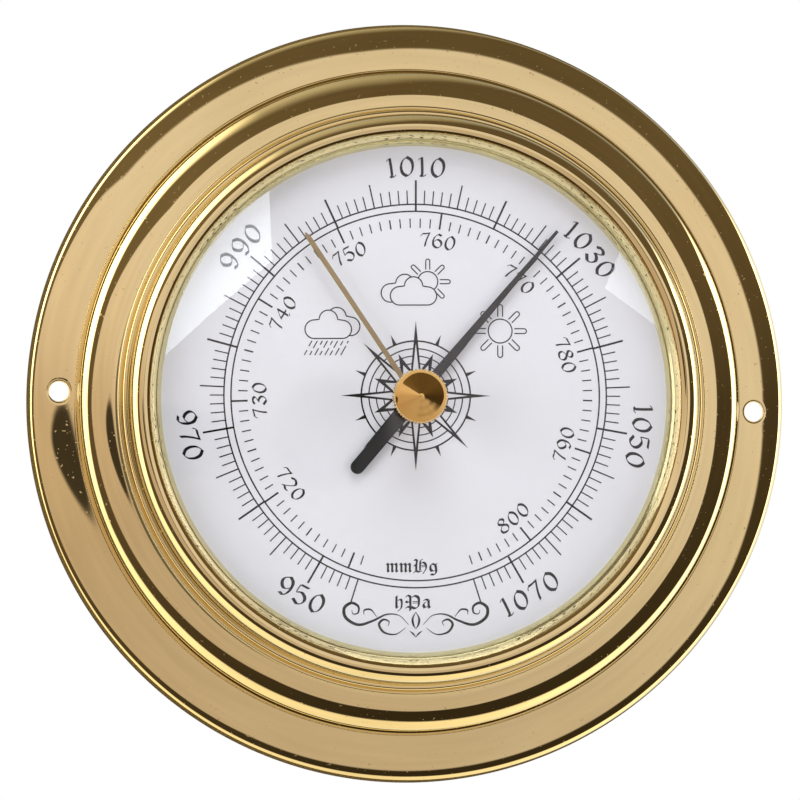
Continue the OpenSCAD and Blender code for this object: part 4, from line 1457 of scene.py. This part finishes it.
@dataclass
class Studio:
    """Camera, lamps, floor and the shade on the wall."""

    azimuth: float = -4.6
    elevation: float = -2.2
    distance: float = 0.6
    sensor: float = 36.0
    half_field: float = 5.792
    aim: Triple = (-0.0009, 0.0, 0.00045)
    lamp_color: Color = (0.93, 1.0, 1.07)
    lamp_distance: float = 0.8
    floor_h: float = -130.0
    floor_r: float = 900.0
    floor_out: float = 100.0
    shade_bore: float = 57.7
    shade_r: float = 64.0
    shade_left: float = 6.0

    def camera(self) -> None:
        """Places the camera on a sphere round its aim point and points it there."""
        data = bpy.data.cameras.new("camera")
        data.sensor_width = self.sensor
        data.lens = self.sensor / 2 / math.tan(math.radians(self.half_field))
        data.clip_start, data.clip_end = 0.01, 20
        camera = linked("camera", data)
        (ahead, right), (level, up) = heading(self.azimuth), heading(self.elevation)
        way = Vector((right * level, -ahead * level, up))
        camera.location = Vector(self.aim) + way * self.distance
        camera.rotation_euler = (-way).to_track_quat("-Z", "Y").to_euler()
        bpy.context.scene.camera = camera

    def lamp(
        self, name: str, middle: Vector, axes: tuple[Vector, Vector, Vector], width: float, level: float
    ) -> bpy.types.Object:
        """Adds a square lamp that the brass doesn't mirror.

        Args:
            name: Name of the lamp.
            middle: Its middle.
            axes: Directions of its two sides and of its back.
            width: Length of its sides.
            level: Brightness of its face.

        Returns:
            The lamp.
        """
        data = bpy.data.lights.new(name, "AREA")
        data.size, data.energy, data.color = width, level * math.pi * width**2, self.lamp_color
        lamp = linked(name, data)
        lamp.location = middle
        lamp.rotation_euler = Matrix(axes).transposed().to_euler()
        lamp.visible_glossy = lamp.visible_camera = False
        return lamp

    def light(self, name: str, turn: float, tilt: float, width: float, level: float) -> None:
        """Adds a lamp that faces the object, at a turn from the right and a tilt from straight in front."""
        (right, up), (ahead, out) = heading(turn), heading(tilt)
        back, side = Vector((right * out, -ahead, up * out)), Vector((-up, 0, right))
        self.lamp(name, back * self.lamp_distance, (side, back.cross(side), back), width, level)

    def softbox(
        self, name: str, corner: Vector, turn: float, opening: float, width: float, level: float
    ) -> None:
        """Adds a lamp that shows in the glass alone, as a corner that opens by more than 90 degrees.

        The lamp leans back along the corner's bisector: its diagonal is k b + sqrt(1 - k^2) f, with
        k = 1 / tan(opening / 2), b along the bisector and f away from the object.

        Args:
            name: Name of the lamp.
            corner: Place of the corner.
            turn: Direction of the bisector in degrees, seen from the object's front.
            opening: Angle between the two sides that meet at the corner, as seen.
            width: Length of its sides.
            level: Brightness of its face.
        """
        facing = corner.normalized()
        right, up = heading(turn)
        bisector = Vector((right, 0, up))
        bisector = (bisector - facing * facing.dot(bisector)).normalized()
        k = 1 / math.tan(math.radians(opening / 2))
        diagonal = bisector * k + facing * math.sqrt(1 - k**2)
        across = facing.cross(bisector)
        first, second = ((diagonal + sense * across) / math.sqrt(2) for sense in (-1, 1))
        middle = corner + (first + second) * width / 2
        lamp = self.lamp(name, middle, (first, second, first.cross(second)), width, level)
        lamp.visible_diffuse = False

    def staged(
        self, name: str, points: np.ndarray, faces: list[list[int]], finish: Finish
    ) -> bpy.types.Object:
        """Adds a flat surface of the studio, not attached to any body of the object."""
        mesh = bpy.data.meshes.new(name)
        mesh.from_pydata(points.tolist(), [], faces)
        mesh.materials.append(finish.material())
        surface = linked(name, mesh)
        return surface

    def floor(self) -> None:
        """Adds a pale round floor below the object, out of the metal's sight."""
        x, y = circle((0, -self.floor_out), self.floor_r, 96).T
        points = place(x, self.floor_h, -y)
        self.staged("floor", points, [list(range(len(points)))], FLOOR_PAINT).visible_glossy = False

    def wall_shade(self) -> None:
        """Adds the shade that the case throws on the wall behind it, which the rolled rim mirrors.

        It is the band between a circle just outside the flange and a larger one that lies
        further left. Only metal sees it.
        """
        rim, edge = circle((0, 0), self.shade_bore, 128), circle((-self.shade_left, 0), self.shade_r, 128)
        points = place(*np.concatenate([rim, edge]).T, 0)
        faces = grid_faces(2, len(rim), False).tolist()
        shade = self.staged("wall_shade", points, faces, SHADE_PAINT)
        shade.visible_camera = shade.visible_diffuse = False
        shade.visible_shadow = shade.visible_transmission = False

    def build(self) -> None:
        """Builds the whole studio."""
        self.camera()
        Surroundings().build()
        self.floor()
        self.wall_shade()
        self.light("top_lamp", 90, 55, 0.5, 4.2)
        self.light("left_lamp", 170, 58, 0.5, 2.8)
        self.light("right_lamp", 5, 58, 0.5, 2.3)
        self.softbox("upper_left_softbox", Vector((-0.139, -0.783, 0.226)), 155, 130, 0.5, 7.0)
        self.softbox("right_softbox", Vector((0.332, -0.739, 0.186)), 17, 100, 0.4, 4.8)
        bpy.context.scene.view_settings.view_transform = "Standard"


def corners(box: tuple[Vector, Vector]) -> list[list[float]]:
    """A box's two corners as plain numbers."""
    return [list(corner) for corner in box]


def main() -> None:
    """Builds the studio and every piece."""
    logging.basicConfig(level=logging.INFO, format="%(message)s")
    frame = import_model()
    Studio().build()
    finish_nodes(frame["nodes"])
    Case().build()
    Dial().build()
    Hands().build()
    Knob().build()
    Glass().build()


if __name__ == "__main__":
    main()
